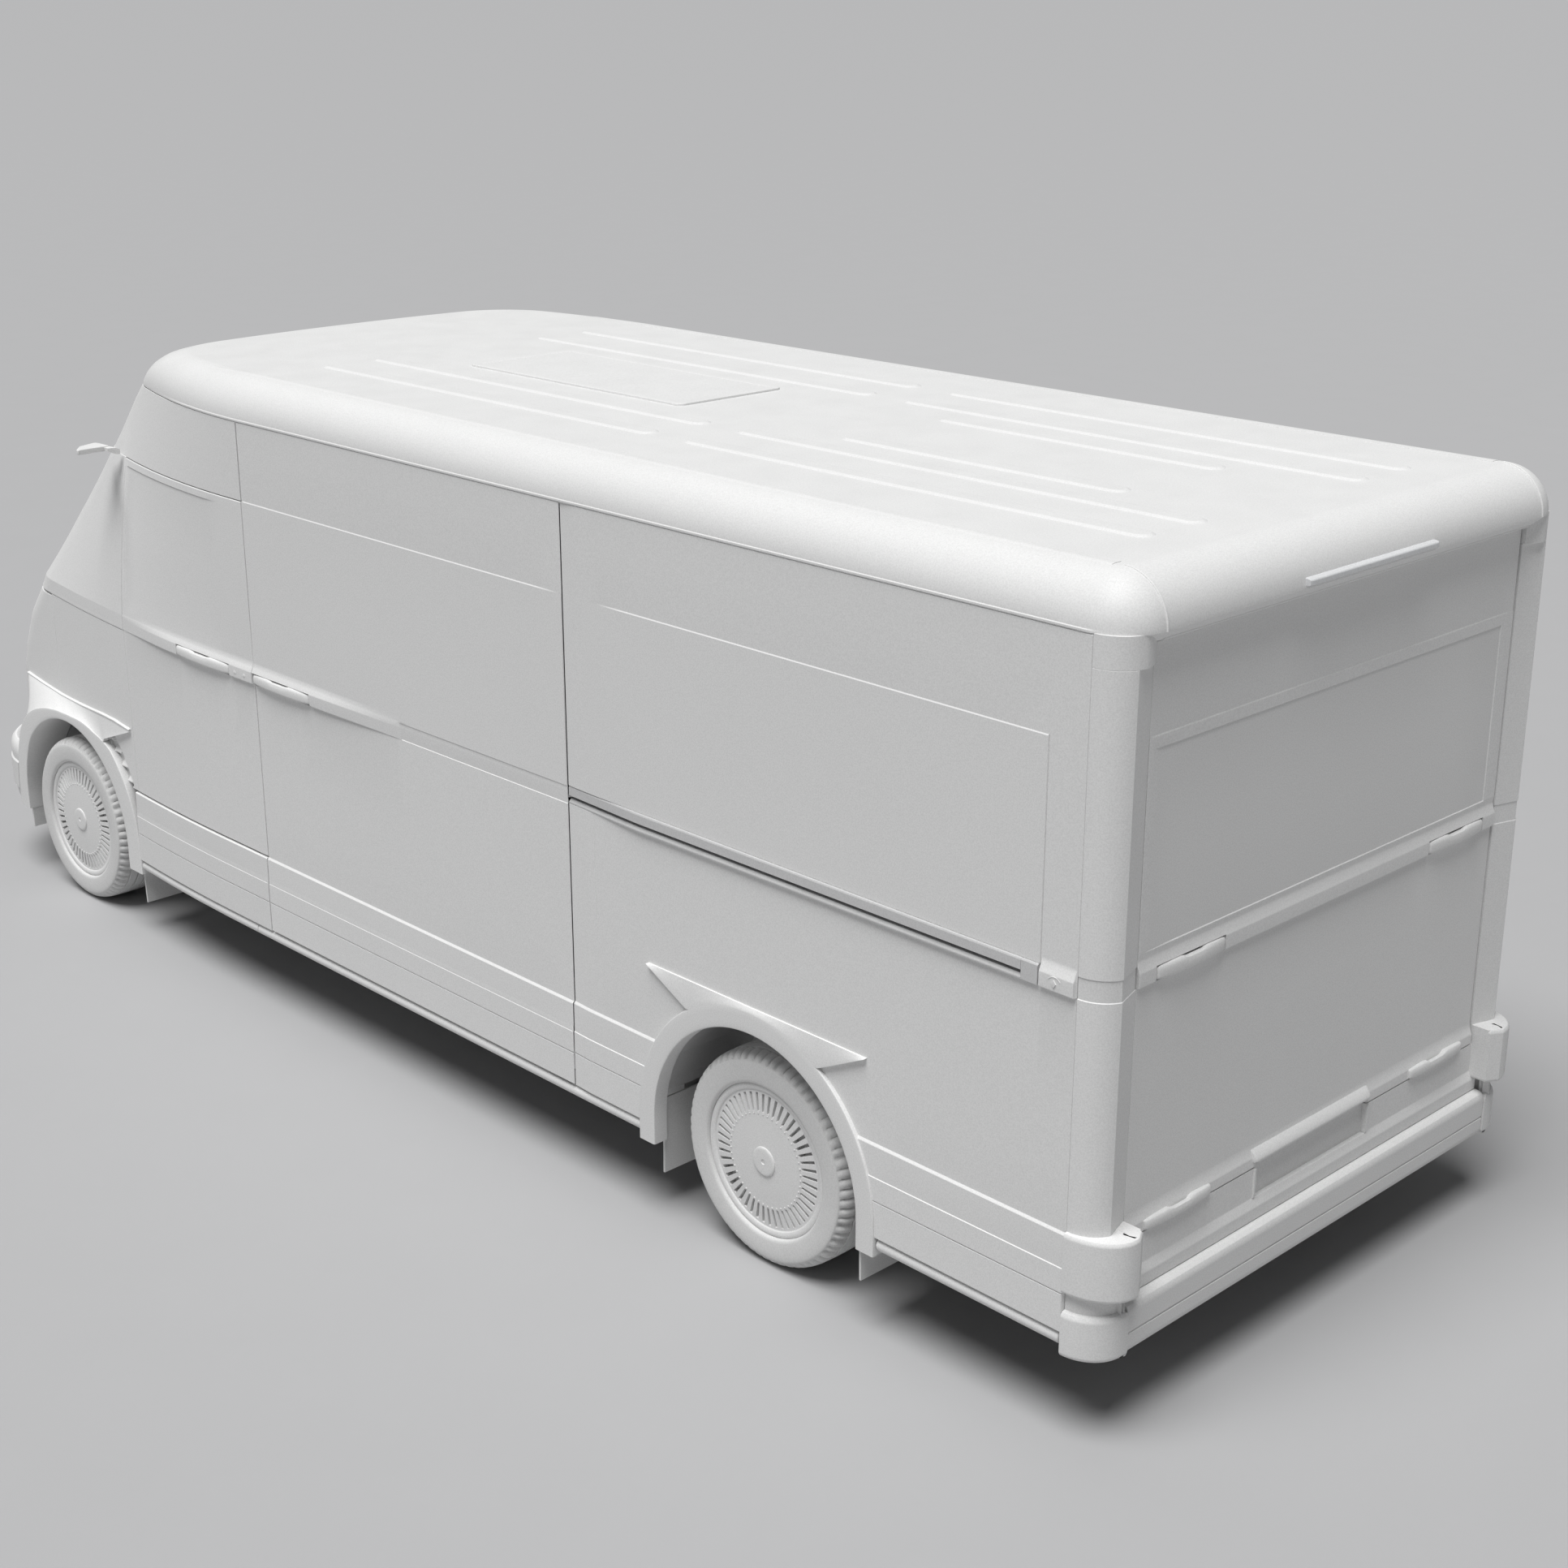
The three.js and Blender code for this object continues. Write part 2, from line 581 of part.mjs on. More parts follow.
function rearAxleBeam() {
  const beam = rodX(45, -745, 745, REAR_AXLE, TYRE_R, 12).add(rodX(28, -870, 870, REAR_AXLE, TYRE_R, 12));
  const seat = box(540, 600, REAR_AXLE - 40, REAR_AXLE + 40, TYRE_R, FLOOR_Z - 41);
  return beam.add(seat).add(seat.mirror([1, 0, 0]));
}
add("rear_axle_beam", rearAxleBeam(), METAL);

function dashboard() {
  const section = [[-2420, 880], [-1990, 880], [-1950, 960], [-1970, 1120], [-2080, 1190], [-2420, 1230]];
  return prism(section, "x", -815, 815);
}
add("dashboard", dashboard(), TRIM);

add("seat_cushion", box(250, 710, -1330, -880, 900, 1020), FABRIC);
const seatBack = [[-872, 905], [-785, 905], [-765, 1660], [-835, 1660]];
add("seat_back", prism(seatBack, "x", 255, 705), FABRIC);

// The flap is full width below the arch lip's foot and narrower where the lip's flange passes it.
function mudFlap() {
  const low = prism([[-1806, 119], [-1794, 119], [-1800, 255], [-1812, 255]], "x", 745, 985);
  const high = prism([[-1812, 253], [-1800, 253], [-1808, 420], [-1820, 420]], "x", 745, 900);
  return low.add(high);
}
addPair("mud_flap", mudFlap(), RUBBER);

// ---- Doors and handles ----
const HANDLE_LOW = BELT_LOW + 1;
const HANDLE_HIGH = 1338;
const HANDLE_BACK = 1020;
const DOOR_HANDLE_Y = [-1286, -911];
const SLIDER_HANDLE_Y = [-750, -384];

const DOOR_LEVELS = [SKIRT_TOP + 4, 900, BELT_LOW - 0.5, BELT_LOW, BELT_HIGH - 15, BELT_HIGH + 16, 1655, CREASE_Z - GAP];

function handlePocket([y0, y1]) {
  return box(HANDLE_BACK - GAP, 1200, y0 - 3, y1 + 3, 1290, HANDLE_HIGH + 3);
}

function frontDoor() {
  const panel = skin(DOOR_LEVELS, sidePath(CAB_REAR - GAP, DOOR_FRONT, 5), 46, doorRelief);
  return panel.subtract(handlePocket(DOOR_HANDLE_Y));
}
addPair("front_door", frontDoor(), PAINT);

// The sliding door's inner face runs parallel to the way it slides, so the door is a wedge.
const sliderThickness = (y) => 3 + SLIDE_SLOPE * (SLIDER_REAR - 3 - y);

function slidingDoor() {
  const zs = [SKIRT_LOW + 4, 616, 620, 900, ...DOOR_LEVELS.slice(2, 6), CREASE_Z, GUTTER_Z - GAP];
  const ys = [SLIDER_REAR - 3, 620, 200, -384, CAB_REAR + 3];
  const path = (z) => ys.map((y) => [HALF_WIDTH, y]);
  return skin(zs, path, sliderThickness, doorRelief).subtract(handlePocket(SLIDER_HANDLE_Y));
}
add("sliding_door_left", slidingDoor(), PAINT);

function rollerArm() {
  const outline = [
    [1021.5, 985], [1023, 1028], [1008, 1040], [950, 1062], [950, 1102], [920, 1102], [920, 1040], [985, 1000],
  ];
  return prism(outline, "z", SLOT_LOW + 2, SLOT_HIGH - 2);
}
add("roller_arm_left", rollerArm(), METAL);

function pullHandle([y0, y1]) {
  const section = [[HANDLE_BACK, HANDLE_LOW], [1046, HANDLE_LOW], [1052, 1306], [1050, 1330], [1040, HANDLE_HIGH]];
  section.push([HANDLE_BACK, HANDLE_HIGH]);
  return prism(section, "y", y0, y1);
}

// ---- Rear door ----
const LEAF_TOP = 2216;
const LEAF_LOW = 564;
const LATCH_X = [503, 799];
const STRIP_PROUD = 11;

function tailgate() {
  const face = LEAF_FACE;
  const strip = face + STRIP_PROUD;
  const section = [
    [face - PANEL, LEAF_LOW], [strip, LEAF_LOW], [strip, 590], [face, 606], [face, BELT_LOW], [strip, BELT_LOW],
    [strip, BELT_HIGH - 12], [face, BELT_HIGH + 14], [face, LEAF_TOP], [face - PANEL, LEAF_TOP],
  ];
  const pocket = box(LATCH_X[0] - 3, LATCH_X[1] + 3, face - 14, face + 60, 1290, HANDLE_HIGH + 3);
  const recess = box(-283, 283, PLATE_Y, 3200, LEAF_LOW - 10, 583);
  return prism(section, "x", -LEAF_HALF + 1, LEAF_HALF - 1).subtract(bothSides(pocket)).subtract(recess);
}
add("tailgate", tailgate(), PAINT);

function latchHandle() {
  const [back, face] = [LEAF_FACE - 10, LEAF_FACE + 18];
  const section = [[back, HANDLE_LOW], [face, HANDLE_LOW], [face + 4, 1306], [face, 1334], [back, HANDLE_HIGH]];
  return prism(section, "x", ...LATCH_X);
}
addPair("tailgate_latch", latchHandle(), TRIM);

// ---- Camera wings ----
function cameraWing() {
  const root = [[934, -1800, 1984], [934, -1750, 1984], [934, -1755, 2004], [934, -1795, 2004]];
  const top = [[955, -1815, 2012], [962, -1900, 2016], [1080, -1815, 2028], [1130, -1726, 2028], [1136, -1736, 2020]];
  return hull([...root, ...top, ...top.map(([x, y, z]) => [x, y, z - 20])]);
}

// ---- Wheels and steering ----
const SIDES = 24;
const BORE = 31;

function tyre() {
  const profile = [
    [233, -92], [262, -110], [318, -112], [344, -94], [TYRE_R, -60], [TYRE_R, 60], [344, 94], [318, 112],
    [262, 110], [233, 92], [233, -92],
  ];
  return lathe(profile, SIDES);
}

// The wheel: a barrel, a slotted cover's plain disc on its outer side, and a hub cap.
function wheel() {
  const profile = [
    [BORE, -20], [60, -20], [80, 40], [200, 62], [208, -88], [231, -90], [231, 92], [237, 100],
    [150, 96], [56, 102], [48, 116], [0, 116], [0, 30], [BORE, 30], [BORE, -20],
  ];
  return lathe(profile, SIDES);
}

const WHEELS = {
  front_left: [1, FRONT_AXLE],
  front_right: [-1, FRONT_AXLE],
  rear_left: [1, REAR_AXLE],
  rear_right: [-1, REAR_AXLE],
};
const tyreSolid = tyre();
const wheelSolid = wheel();
for (const [place, [side, y]] of Object.entries(WHEELS)) {
  for (const [name, solid, material] of [["tyre", tyreSolid, RUBBER], ["wheel", wheelSolid, METAL]]) {
    const mesh = add(name + "_" + place, solid, material);
    mesh.scale.x = side;
    mesh.position.set(side * WHEEL_X, y, TYRE_R);
  }
}

function steeringKnuckle() {
  const upright = box(692, 745, FRONT_AXLE - 55, FRONT_AXLE + 55, 305, 560);
  return upright.add(rodX(28, 740, 868, FRONT_AXLE, TYRE_R, 12));
}
addPair("steering_knuckle", steeringKnuckle(), METAL);

function steeringWheel() {
  const rim = solidOf(new THREE.TorusGeometry(200, 14, 6, 24));
  const spokes = [0, 120, 240].map((turn) => {
    const bar = new THREE.BoxGeometry(30, 200, 12).translate(0, -100, 0);
    return solidOf(bar.rotateZ(THREE.MathUtils.degToRad(turn)));
  });
  const hub = solidOf(new THREE.CylinderGeometry(48, 48, 40, 12).rotateX(Math.PI / 2));
  const column = solidOf(new THREE.CylinderGeometry(20, 20, 140, 10).rotateX(Math.PI / 2).translate(0, 0, -70));
  return [...spokes, hub, column].reduce((made, piece) => made.add(piece), rim);
}
const wheelMesh = add("steering_wheel", steeringWheel(), TRIM);
wheelMesh.position.set(480, -1790, 1150);
wheelMesh.rotation.x = -THREE.MathUtils.degToRad(58);

addPair("front_door_handle", pullHandle(DOOR_HANDLE_Y), TRIM);
add("sliding_door_handle", pullHandle(SLIDER_HANDLE_Y), TRIM);
addPair("camera_wing", cameraWing(), TRIM);

export default van;
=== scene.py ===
"""Looks for the mail delivery van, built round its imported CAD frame. Metres, +Z up, the van faces -Y."""
import json
import math

import bmesh
import bpy
import numpy as np
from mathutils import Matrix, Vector


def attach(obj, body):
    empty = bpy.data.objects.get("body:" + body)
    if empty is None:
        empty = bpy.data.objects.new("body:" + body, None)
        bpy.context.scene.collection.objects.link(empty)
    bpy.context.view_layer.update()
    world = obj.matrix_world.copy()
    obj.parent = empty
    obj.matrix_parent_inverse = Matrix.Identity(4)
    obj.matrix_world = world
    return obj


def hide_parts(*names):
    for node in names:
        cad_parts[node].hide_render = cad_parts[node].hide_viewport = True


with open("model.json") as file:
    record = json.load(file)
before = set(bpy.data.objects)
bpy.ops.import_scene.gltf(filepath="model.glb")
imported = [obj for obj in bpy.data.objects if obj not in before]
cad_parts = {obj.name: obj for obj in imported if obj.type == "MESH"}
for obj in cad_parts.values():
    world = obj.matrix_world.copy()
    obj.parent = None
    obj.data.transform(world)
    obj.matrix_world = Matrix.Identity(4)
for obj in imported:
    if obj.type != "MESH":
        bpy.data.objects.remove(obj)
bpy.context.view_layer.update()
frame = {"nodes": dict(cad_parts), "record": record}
NODES = frame["nodes"]

# ---- Driving dimensions, the same as the CAD ----
HALF_LENGTH = 3.238
HALF_WIDTH = 1.029
ROOF_Z = 2.396
GUTTER_Z = 2.256
SHOULDER = ROOF_Z - GUTTER_Z
CREASE_Z = 1.971
BELT_LOW = 1.296
BELT_HIGH = 1.355
SKIRT_TOP = 0.618
SKIRT_LOW = 0.322
TYRE_R = 0.35
FRONT_AXLE = -2.308
REAR_AXLE = 1.879
WHEEL_X = 0.882
ARCH_R = 0.44
GAP = 0.004
DOOR_FRONT = -1.748
CAB_REAR = -0.756
SLIDER_REAR = 1.039
SIDE_REAR = 3.079
LEAF_FACE = 3.144
LEAF_HALF = 0.872
PANEL = 0.04
SLIDE_SLOPE = 0.055
CORNER_R = 0.3
CORNER_END = math.radians(84)
PILLAR_PART = 0.33

BEND_Z = [0, 1.355, 1.971, 2.256]
BEND = [0.048, 0.048, 0.13, 0.18]
BEND_FROM = [-1.04, -1.04, -0.84, -0.74]
CORNER_Z = [0.25, 0.7, 0.87, 0.973, 1.14, 1.31, 1.655, 1.99, 2.18, 2.256, 2.3, 2.34, 2.375, 2.396]
CORNER_Y = [-2.9, -2.9, -2.885, -2.828, -2.7, -2.5, -2.195, -1.865, -1.7, -1.61, -1.56, -1.505, -1.435, -1.35]


def side_x(y, z):
    """The body's half width at each place, with the roof's round shoulder taken off."""
    ahead = np.maximum(0, np.interp(z, BEND_Z, BEND_FROM) - y)
    rise = np.clip(z - GUTTER_Z, 0, SHOULDER)
    shoulder = SHOULDER - np.sqrt(SHOULDER**2 - rise**2)
    return HALF_WIDTH - np.interp(z, BEND_Z, BEND) * ahead**2 - shoulder


def corner_point(z, part):
    """x, y round the front corner: part 0 is its start on the side, 1 is its end on the front."""
    y = np.interp(z, CORNER_Z, CORNER_Y)
    start = np.arctan(2 * np.interp(z, BEND_Z, BEND) * (np.interp(z, BEND_Z, BEND_FROM) - y))
    angle = start + (CORNER_END - start) * part
    x = side_x(y, z) - CORNER_R * (np.cos(start) - np.cos(angle))
    return x, y - CORNER_R * (np.sin(angle) - np.sin(start))


def front_point(z, part):
    """x, y on the front: part 0 is the end of the corner, 1 is the centreline."""
    x, y = corner_point(z, 1)
    radius = x / math.cos(CORNER_END)
    angle = CORNER_END + (math.pi / 2 - CORNER_END) * part
    return radius * np.cos(angle), y + radius * (math.sin(CORNER_END) - np.sin(angle))


# ---- Materials ----
def nodes_of(name):
    """A new material, its node tree and its shader."""
    material = bpy.data.materials.new(name)
    material.use_nodes = True
    tree = material.node_tree
    shader = tree.nodes["Principled BSDF"]
    return material, tree, shader


def noise(tree, scale, detail=3, rough=0.5):
    coord = tree.nodes.new("ShaderNodeTexCoord")
    node = tree.nodes.new("ShaderNodeTexNoise")
    node.inputs["Scale"].default_value = scale
    node.inputs["Detail"].default_value = detail
    node.inputs["Roughness"].default_value = rough
    tree.links.new(coord.outputs["Object"], node.inputs["Vector"])
    return node.outputs["Fac"]


def ramp(tree, source, low, high, start=0.3, end=0.7):
    """Maps a 0 to 1 value onto two numbers, or onto two colours."""
    node = tree.nodes.new("ShaderNodeValToRGB")
    colours = [v if isinstance(v, tuple) else (v, v, v) for v in (low, high)]
    for element, place, colour in zip(node.color_ramp.elements, (start, end), colours):
        element.position = place
        element.color = (*colour, 1)
    tree.links.new(source, node.inputs["Fac"])
    return node.outputs["Color"]


def multiply(tree, a, b, factor=1.0):
    node = tree.nodes.new("ShaderNodeMix")
    node.data_type = "RGBA"
    node.blend_type = "MULTIPLY"
    node.inputs["Factor"].default_value = factor
    tree.links.new(a, node.inputs["A"])
    tree.links.new(b, node.inputs["B"])
    return node.outputs["Result"]


def bump(tree, shader, height, strength, distance):
    node = tree.nodes.new("ShaderNodeBump")
    node.inputs["Strength"].default_value = strength
    node.inputs["Distance"].default_value = distance
    tree.links.new(height, node.inputs["Height"])
    tree.links.new(node.outputs["Normal"], shader.inputs["Normal"])


def hollow_shade(tree, amount):
    """A little painted shade: the colour darkened in hollows and creases, where the surface is concave."""
    geometry = tree.nodes.new("ShaderNodeNewGeometry")
    return ramp(tree, geometry.outputs["Pointiness"], 1 - amount, 1.0, 0.46, 0.5)


def shaded(name, colour, spread, rough, grain_scale, grain, hollow_shade_amount=0.06, metallic=0.0, specular=0.4, coat=0.0):
    """A plain finish: cloudy and speckled colour, uneven roughness, fine grain, and painted shade in the
    hollows.
    """
    material, tree, shader = nodes_of(name)
    low = tuple(c * (1 - spread) for c in colour)
    clouds = ramp(tree, noise(tree, 1.6, 4, 0.6), low, colour)
    specks = ramp(tree, noise(tree, 230, 4, 0.8), 0.86, 1.0, 0.36, 0.6)
    # the colour is multiplied by painted shade in the hollows
    base = multiply(tree, multiply(tree, clouds, specks), hollow_shade(tree, hollow_shade_amount))
    tree.links.new(base, shader.inputs["Base Color"])
    tree.links.new(ramp(tree, noise(tree, 7, 5, 0.6), rough - 0.06, rough + 0.06), shader.inputs["Roughness"])
    bump(tree, shader, noise(tree, grain_scale, 2, 0.5), grain, 0.0006)
    shader.inputs["Metallic"].default_value = metallic
    shader.inputs["Specular IOR Level"].default_value = specular
    shader.inputs["Coat Weight"].default_value = coat
    shader.inputs["Coat Roughness"].default_value = 0.25
    return material


def brushed(name, colour, direction):
    material = shaded(name, colour, 0.05, 0.42, 500, 0.05, metallic=0.35)
    tree = material.node_tree
    shader = tree.nodes["Principled BSDF"]
    coord = tree.nodes.new("ShaderNodeTexCoord")
    stretch = tree.nodes.new("ShaderNodeMapping")
    stretch.inputs["Scale"].default_value = direction
    lines = tree.nodes.new("ShaderNodeTexNoise")
    lines.inputs["Scale"].default_value = 260
    tree.links.new(coord.outputs["Object"], stretch.inputs["Vector"])
    tree.links.new(stretch.outputs["Vector"], lines.inputs["Vector"])
    bump(tree, shader, lines.outputs["Fac"], 0.12, 0.0005)
    return material


def woven(name, colour):
    material = shaded(name, colour, 0.1, 0.85, 600, 0.1, hollow_shade_amount=0.2)
    tree = material.node_tree
    shader = tree.nodes["Principled BSDF"]
    coord = tree.nodes.new("ShaderNodeTexCoord")
    heights = []
    for axis in ("X", "Z"):
        wave = tree.nodes.new("ShaderNodeTexWave")
        wave.bands_direction = axis
        wave.inputs["Scale"].default_value = 160
        wave.inputs["Distortion"].default_value = 1.5
        tree.links.new(coord.outputs["Object"], wave.inputs["Vector"])
        heights.append(wave.outputs["Color"])
    bump(tree, shader, multiply(tree, *heights), 0.5, 0.0012)
    shader.inputs["Sheen Weight"].default_value = 0.3
    return material


# Each finish darkens its hollows a little with painted shade; the rubber and the weave the most.
MATERIALS = {
    "body_paint": shaded("pale_paint", (0.83, 0.83, 0.825), 0.012, 0.52, 1400, 0.1, specular=0.35),
    "trim": shaded("pale_moulding", (0.815, 0.815, 0.81), 0.018, 0.62, 700, 0.22, specular=0.3),
    "glass": shaded("pale_glass", (0.74, 0.75, 0.76), 0.02, 0.22, 1500, 0.02, specular=0.5, coat=0.6),
    "rubber": shaded("pale_rubber", (0.75, 0.75, 0.745), 0.04, 0.8, 520, 0.4, hollow_shade_amount=0.25, specular=0.2),
    "metal": brushed("pale_metal", (0.72, 0.72, 0.72), (1, 0.02, 1)),
    "fabric": woven("seat_weave", (0.62, 0.62, 0.61)),
}


# ---- Mesh building ----
def add_object(name, data):
    obj = bpy.data.objects.new(name, data)
    bpy.context.scene.collection.objects.link(obj)
    return obj


NO_SHARP_EDGES = 180
BEVEL_FROM = 28
NORMAL_WEIGHT = 80


def finish(obj, body, slot, replaces=(), angle=32, bevel=0.0, segments=3):
    """Gives a piece its shading, bevel, material, the body it rides on and the CAD nodes it stands for."""
    mesh = obj.data
    mesh.materials.clear()
    mesh.materials.append(MATERIALS[slot])
    mesh.polygons.foreach_set("use_smooth", [True] * len(mesh.polygons))
    mesh.set_sharp_from_angle(angle=math.radians(NO_SHARP_EDGES if bevel else angle))
    if bevel:
        edge = obj.modifiers.new("bevel", "BEVEL")
        edge.width = bevel
        edge.segments = segments
        edge.limit_method = "ANGLE"
        edge.angle_limit = math.radians(BEVEL_FROM)
    weights = obj.modifiers.new("normals", "WEIGHTED_NORMAL")
    weights.keep_sharp = True
    weights.weight = NORMAL_WEIGHT
    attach(obj, body)
    if replaces:
        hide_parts(*replaces)
    return obj


def mesh_object(name, verts, faces, tidy=1e-6):
    mesh = bpy.data.meshes.new(name)
    bm = bmesh.new()
    made = [bm.verts.new(v) for v in verts]
    for face in faces:
        if len(set(face)) > 2:
            bm.faces.new([made[i] for i in face])
    bmesh.ops.remove_doubles(bm, verts=bm.verts, dist=tidy)
    bmesh.ops.recalc_face_normals(bm, faces=bm.faces)
    bm.to_mesh(mesh)
    bm.free()
    return add_object(name, mesh)


def grid_faces(rows, cols, start=0, flip=False, closed=False):
    faces = []
    for i in range(rows - 1):
        for j in range(cols if closed else cols - 1):
            k = (j + 1) % cols
            low, high = start + i * cols, start + (i + 1) * cols
            quad = [low + j, low + k, high + k, high + j]
            faces.append(quad[::-1] if flip else quad)
    return faces


def stations(low, high, breaks=(), step=0.1, roll=0.003):
    """Places from low to high: close together where an edge rolls over, at each break, and within step."""
    marks = {low, high}
    for share in (0.134, 0.5, 1):
        marks |= {low + share * roll, high - share * roll}
    marks |= {b for b in breaks if low < b < high}
    marks = sorted(marks)
    out = [marks[0]]
    for a, b in zip(marks, marks[1:]):
        count = max(1, math.ceil((b - a) / step - 1e-6))
        out += [a + (b - a) * (i + 1) / count for i in range(count)]
    return np.array(out)


def step_at(*places, width=0.0012):
    """A pair of stations on each side of a place where the relief steps."""
    return [p + side * width / 2 for p in places for side in (-1, 1)]


def circle(steps):
    """Angles once round, in radians."""
    return np.linspace(0, 2 * math.pi, steps, endpoint=False)


def edge_distance(points, axis):
    """How far each point is from the nearer end of its row or column."""
    lengths = np.linalg.norm(np.diff(points, axis=axis), axis=-1)
    zero = np.zeros_like(np.take(lengths, [0], axis=axis))
    along = np.concatenate([zero, np.cumsum(lengths, axis=axis)], axis=axis)
    total = np.take(along, [-1], axis=axis)
    return np.minimum(along, total - along)


def normals_of(points):
    across = np.gradient(points, axis=1)
    up = np.gradient(points, axis=0)
    normal = np.cross(across, up)
    normal /= np.maximum(np.linalg.norm(normal, axis=-1, keepdims=True), 1e-12)
    outward = np.sum(normal * (points - np.array([0, 0, 1.2]))) > 0
    return normal if outward else -normal


def shell(name, outer, inner, merge=1e-5):
    """A closed sheet between two grids of points, joined round their edges."""
    rows, cols = outer.shape[:2]
    count = rows * cols
    rim = list(range(cols)) + [i * cols + cols - 1 for i in range(1, rows)]
    rim += [(rows - 1) * cols + j for j in range(cols - 2, -1, -1)]
    rim += [i * cols for i in range(rows - 2, 0, -1)]
    faces = grid_faces(rows, cols) + grid_faces(rows, cols, count, flip=True)
    faces += [[a, b, count + b, count + a] for a, b in zip(rim, rim[1:] + rim[:1])]
    verts = np.concatenate([outer.reshape(-1, 3), inner.reshape(-1, 3)])
    return mesh_object(name, verts.tolist(), faces, merge)


def panel(name, points, thick, relief=0.0, roll=0.003, rolled=(True, True)):
    """A closed sheet over a grid of points: rolled edges, a relief on the outside, and a plain inside.
    rolled says whether the edges across the rows, and across the columns, roll over."""
    normal = normals_of(points)
    depth = np.zeros(points.shape[:2])
    for axis in (0, 1):
        if rolled[axis]:
            away = np.minimum(edge_distance(points, axis), roll)
            depth = np.maximum(depth, roll - np.sqrt(np.maximum(0, roll**2 - (roll - away) ** 2)))
    outer = points + normal * (relief - depth)[..., None]
    inner = points - normal * (thick if np.isscalar(thick) else thick[..., None])
    return shell(name, outer, inner, merge=1e-6)


def prism(name, outline, axis, low, high):
    """An outline drawn out along an axis: along z it is x, y; along x it is y, z; along y it is x, z."""
    n = len(outline)
    verts = []
    for end in (low, high):
        verts += [{"z": (a, b, end), "x": (end, a, b), "y": (a, end, b)}[axis] for a, b in outline]
    faces = [list(range(n)), list(range(2 * n - 1, n - 1, -1))]
    faces += [[i, (i + 1) % n, n + (i + 1) % n, n + i] for i in range(n)]
    return mesh_object(name, verts, faces)


def box(name, x0, x1, y0, y1, z0, z1):
    return prism(name, [(x0, y0), (x1, y0), (x1, y1), (x0, y1)], "z", z0, z1)


def lathe(name, profile, sides, shape=None):
    """A closed profile of [radius, along] points turned about the x axis. shape may move the points."""
    loop = np.array(profile)
    angles = circle(sides)
    radius = np.repeat(loop[None, :, 0], sides, 0)
    along = np.repeat(loop[None, :, 1], sides, 0)
    if shape is not None:
        radius, along = shape(radius, along, angles[:, None])
    verts = np.stack([along, radius * np.sin(angles)[:, None], -radius * np.cos(angles)[:, None]], -1)
    cols = len(profile)
    faces = []
    for i in range(sides):
        low, high = i * cols, (i + 1) % sides * cols
        faces += [[low + j, low + (j + 1) % cols, high + (j + 1) % cols, high + j] for j in range(cols)]
    return mesh_object(name, verts.reshape(-1, 3).tolist(), faces)


def applied(obj):
    """The object with its modifiers made real."""
    depsgraph = bpy.context.evaluated_depsgraph_get()
    mesh = bpy.data.meshes.new_from_object(obj.evaluated_get(depsgraph))
    obj.modifiers.clear()
    obj.data = mesh
    return obj


def boolean(obj, cutters):
    """The object with the cutters taken out of it. The cutters are used up."""
    for cutter in cutters:
        modifier = obj.modifiers.new("cut", "BOOLEAN")
        modifier.operation = "DIFFERENCE"
        modifier.solver = "EXACT"
        modifier.object = cutter
    applied(obj)
    for cutter in cutters:
        bpy.data.objects.remove(cutter)
    return obj


def joined(name, objs):
    """Several meshes as one object."""
    bm = bmesh.new()
    for obj in objs:
        obj.data.transform(obj.matrix_world)
        bm.from_mesh(obj.data)
        bpy.data.objects.remove(obj)
    mesh = bpy.data.meshes.new(name)
    bm.to_mesh(mesh)
    bm.free()
    return add_object(name, mesh)


def mirror_of(obj, name, alone=False):
    """The piece's mirror image. alone drops the piece itself."""
    mesh = obj.data.copy()
    co = np.zeros(len(mesh.vertices) * 3)
    mesh.vertices.foreach_get("co", co)
    co[0::3] *= -1
    mesh.vertices.foreach_set("co", co)
    mesh.flip_normals()
    if alone:
        bpy.data.objects.remove(obj)
    return add_object(name, mesh)


def pair(make, name, bodies, slot, node=None, **options):
    """A left piece from make() and its mirror image, each riding on its own body."""
    left = make()
    left.name = name + "_left_skin"
    right = mirror_of(left, name + "_right_skin")
    for obj, side, body in ((left, "left", bodies[0]), (right, "right", bodies[1])):
        finish(obj, body, slot, [f"{node}_{side}"] if node else (), **options)
    return left, right


BODY = "van_body"
BOTH = (BODY, BODY)


def arc(centre_y, radius, start, end, steps):
    angles = np.radians(np.linspace(start, end, steps + 1))
    return [(centre_y + radius * math.cos(a), TYRE_R + radius * math.sin(a)) for a in angles]


def arch_cutter(axle, radius):
    outline = [(axle + radius, 0.2)] + arc(axle, radius, 0, 180, 60) + [(axle - radius, 0.2)]
    return prism("cutter", outline, "x", 0.5, 1.2)


# ---- Relief of the side: how far out it stands at each height ----
# Each table is a list of height in metres, how far out in millimetres.
SKIRT_FOOT = [(0, 9), (0.4368, 9), (0.4376, 5), (0.4408, 5), (0.4416, 9), (0.5135, 9)]
SKIRT_HEAD = [(0.6115, 6.5), (0.6135, 6), (0.6195, 0.3), (0.6205, 0), (3, 0)]
SKIRT_REAR = SKIRT_FOOT + [(0.5155, 6.5)] + SKIRT_HEAD
SKIRT_FRONT = SKIRT_FOOT + [(0.5155, 7.7), (0.5325, 7.7), (0.5345, 6.5)] + SKIRT_HEAD
BELT = [(0, 0), (1.2945, 0), (1.296, 10.5), (1.2985, 12), (1.337, 12), (1.3405, 11), (1.3445, 9),
        (1.362, 2.4), (1.37, 0.6), (1.376, 0), (3, 0)]
BAND = [(0, 0), (1.2945, 0), (1.296, 1.2), (1.3535, 1.2), (1.3555, 0), (3, 0)]
CREASE = [(0, 2.2), (1.9685, 2.2), (1.972, 0), (3, 0)]


def strip(y, z):
    """The belt strip on the doors: full round the handles, fading out ahead of them and behind them."""
    t = np.clip(np.interp(y, [-1.748, -1.3, -0.384, 0.2], [0, 1, 1, 0]), 0, 1)
    return profile(BELT, z) * t * t * (3 - 2 * t)


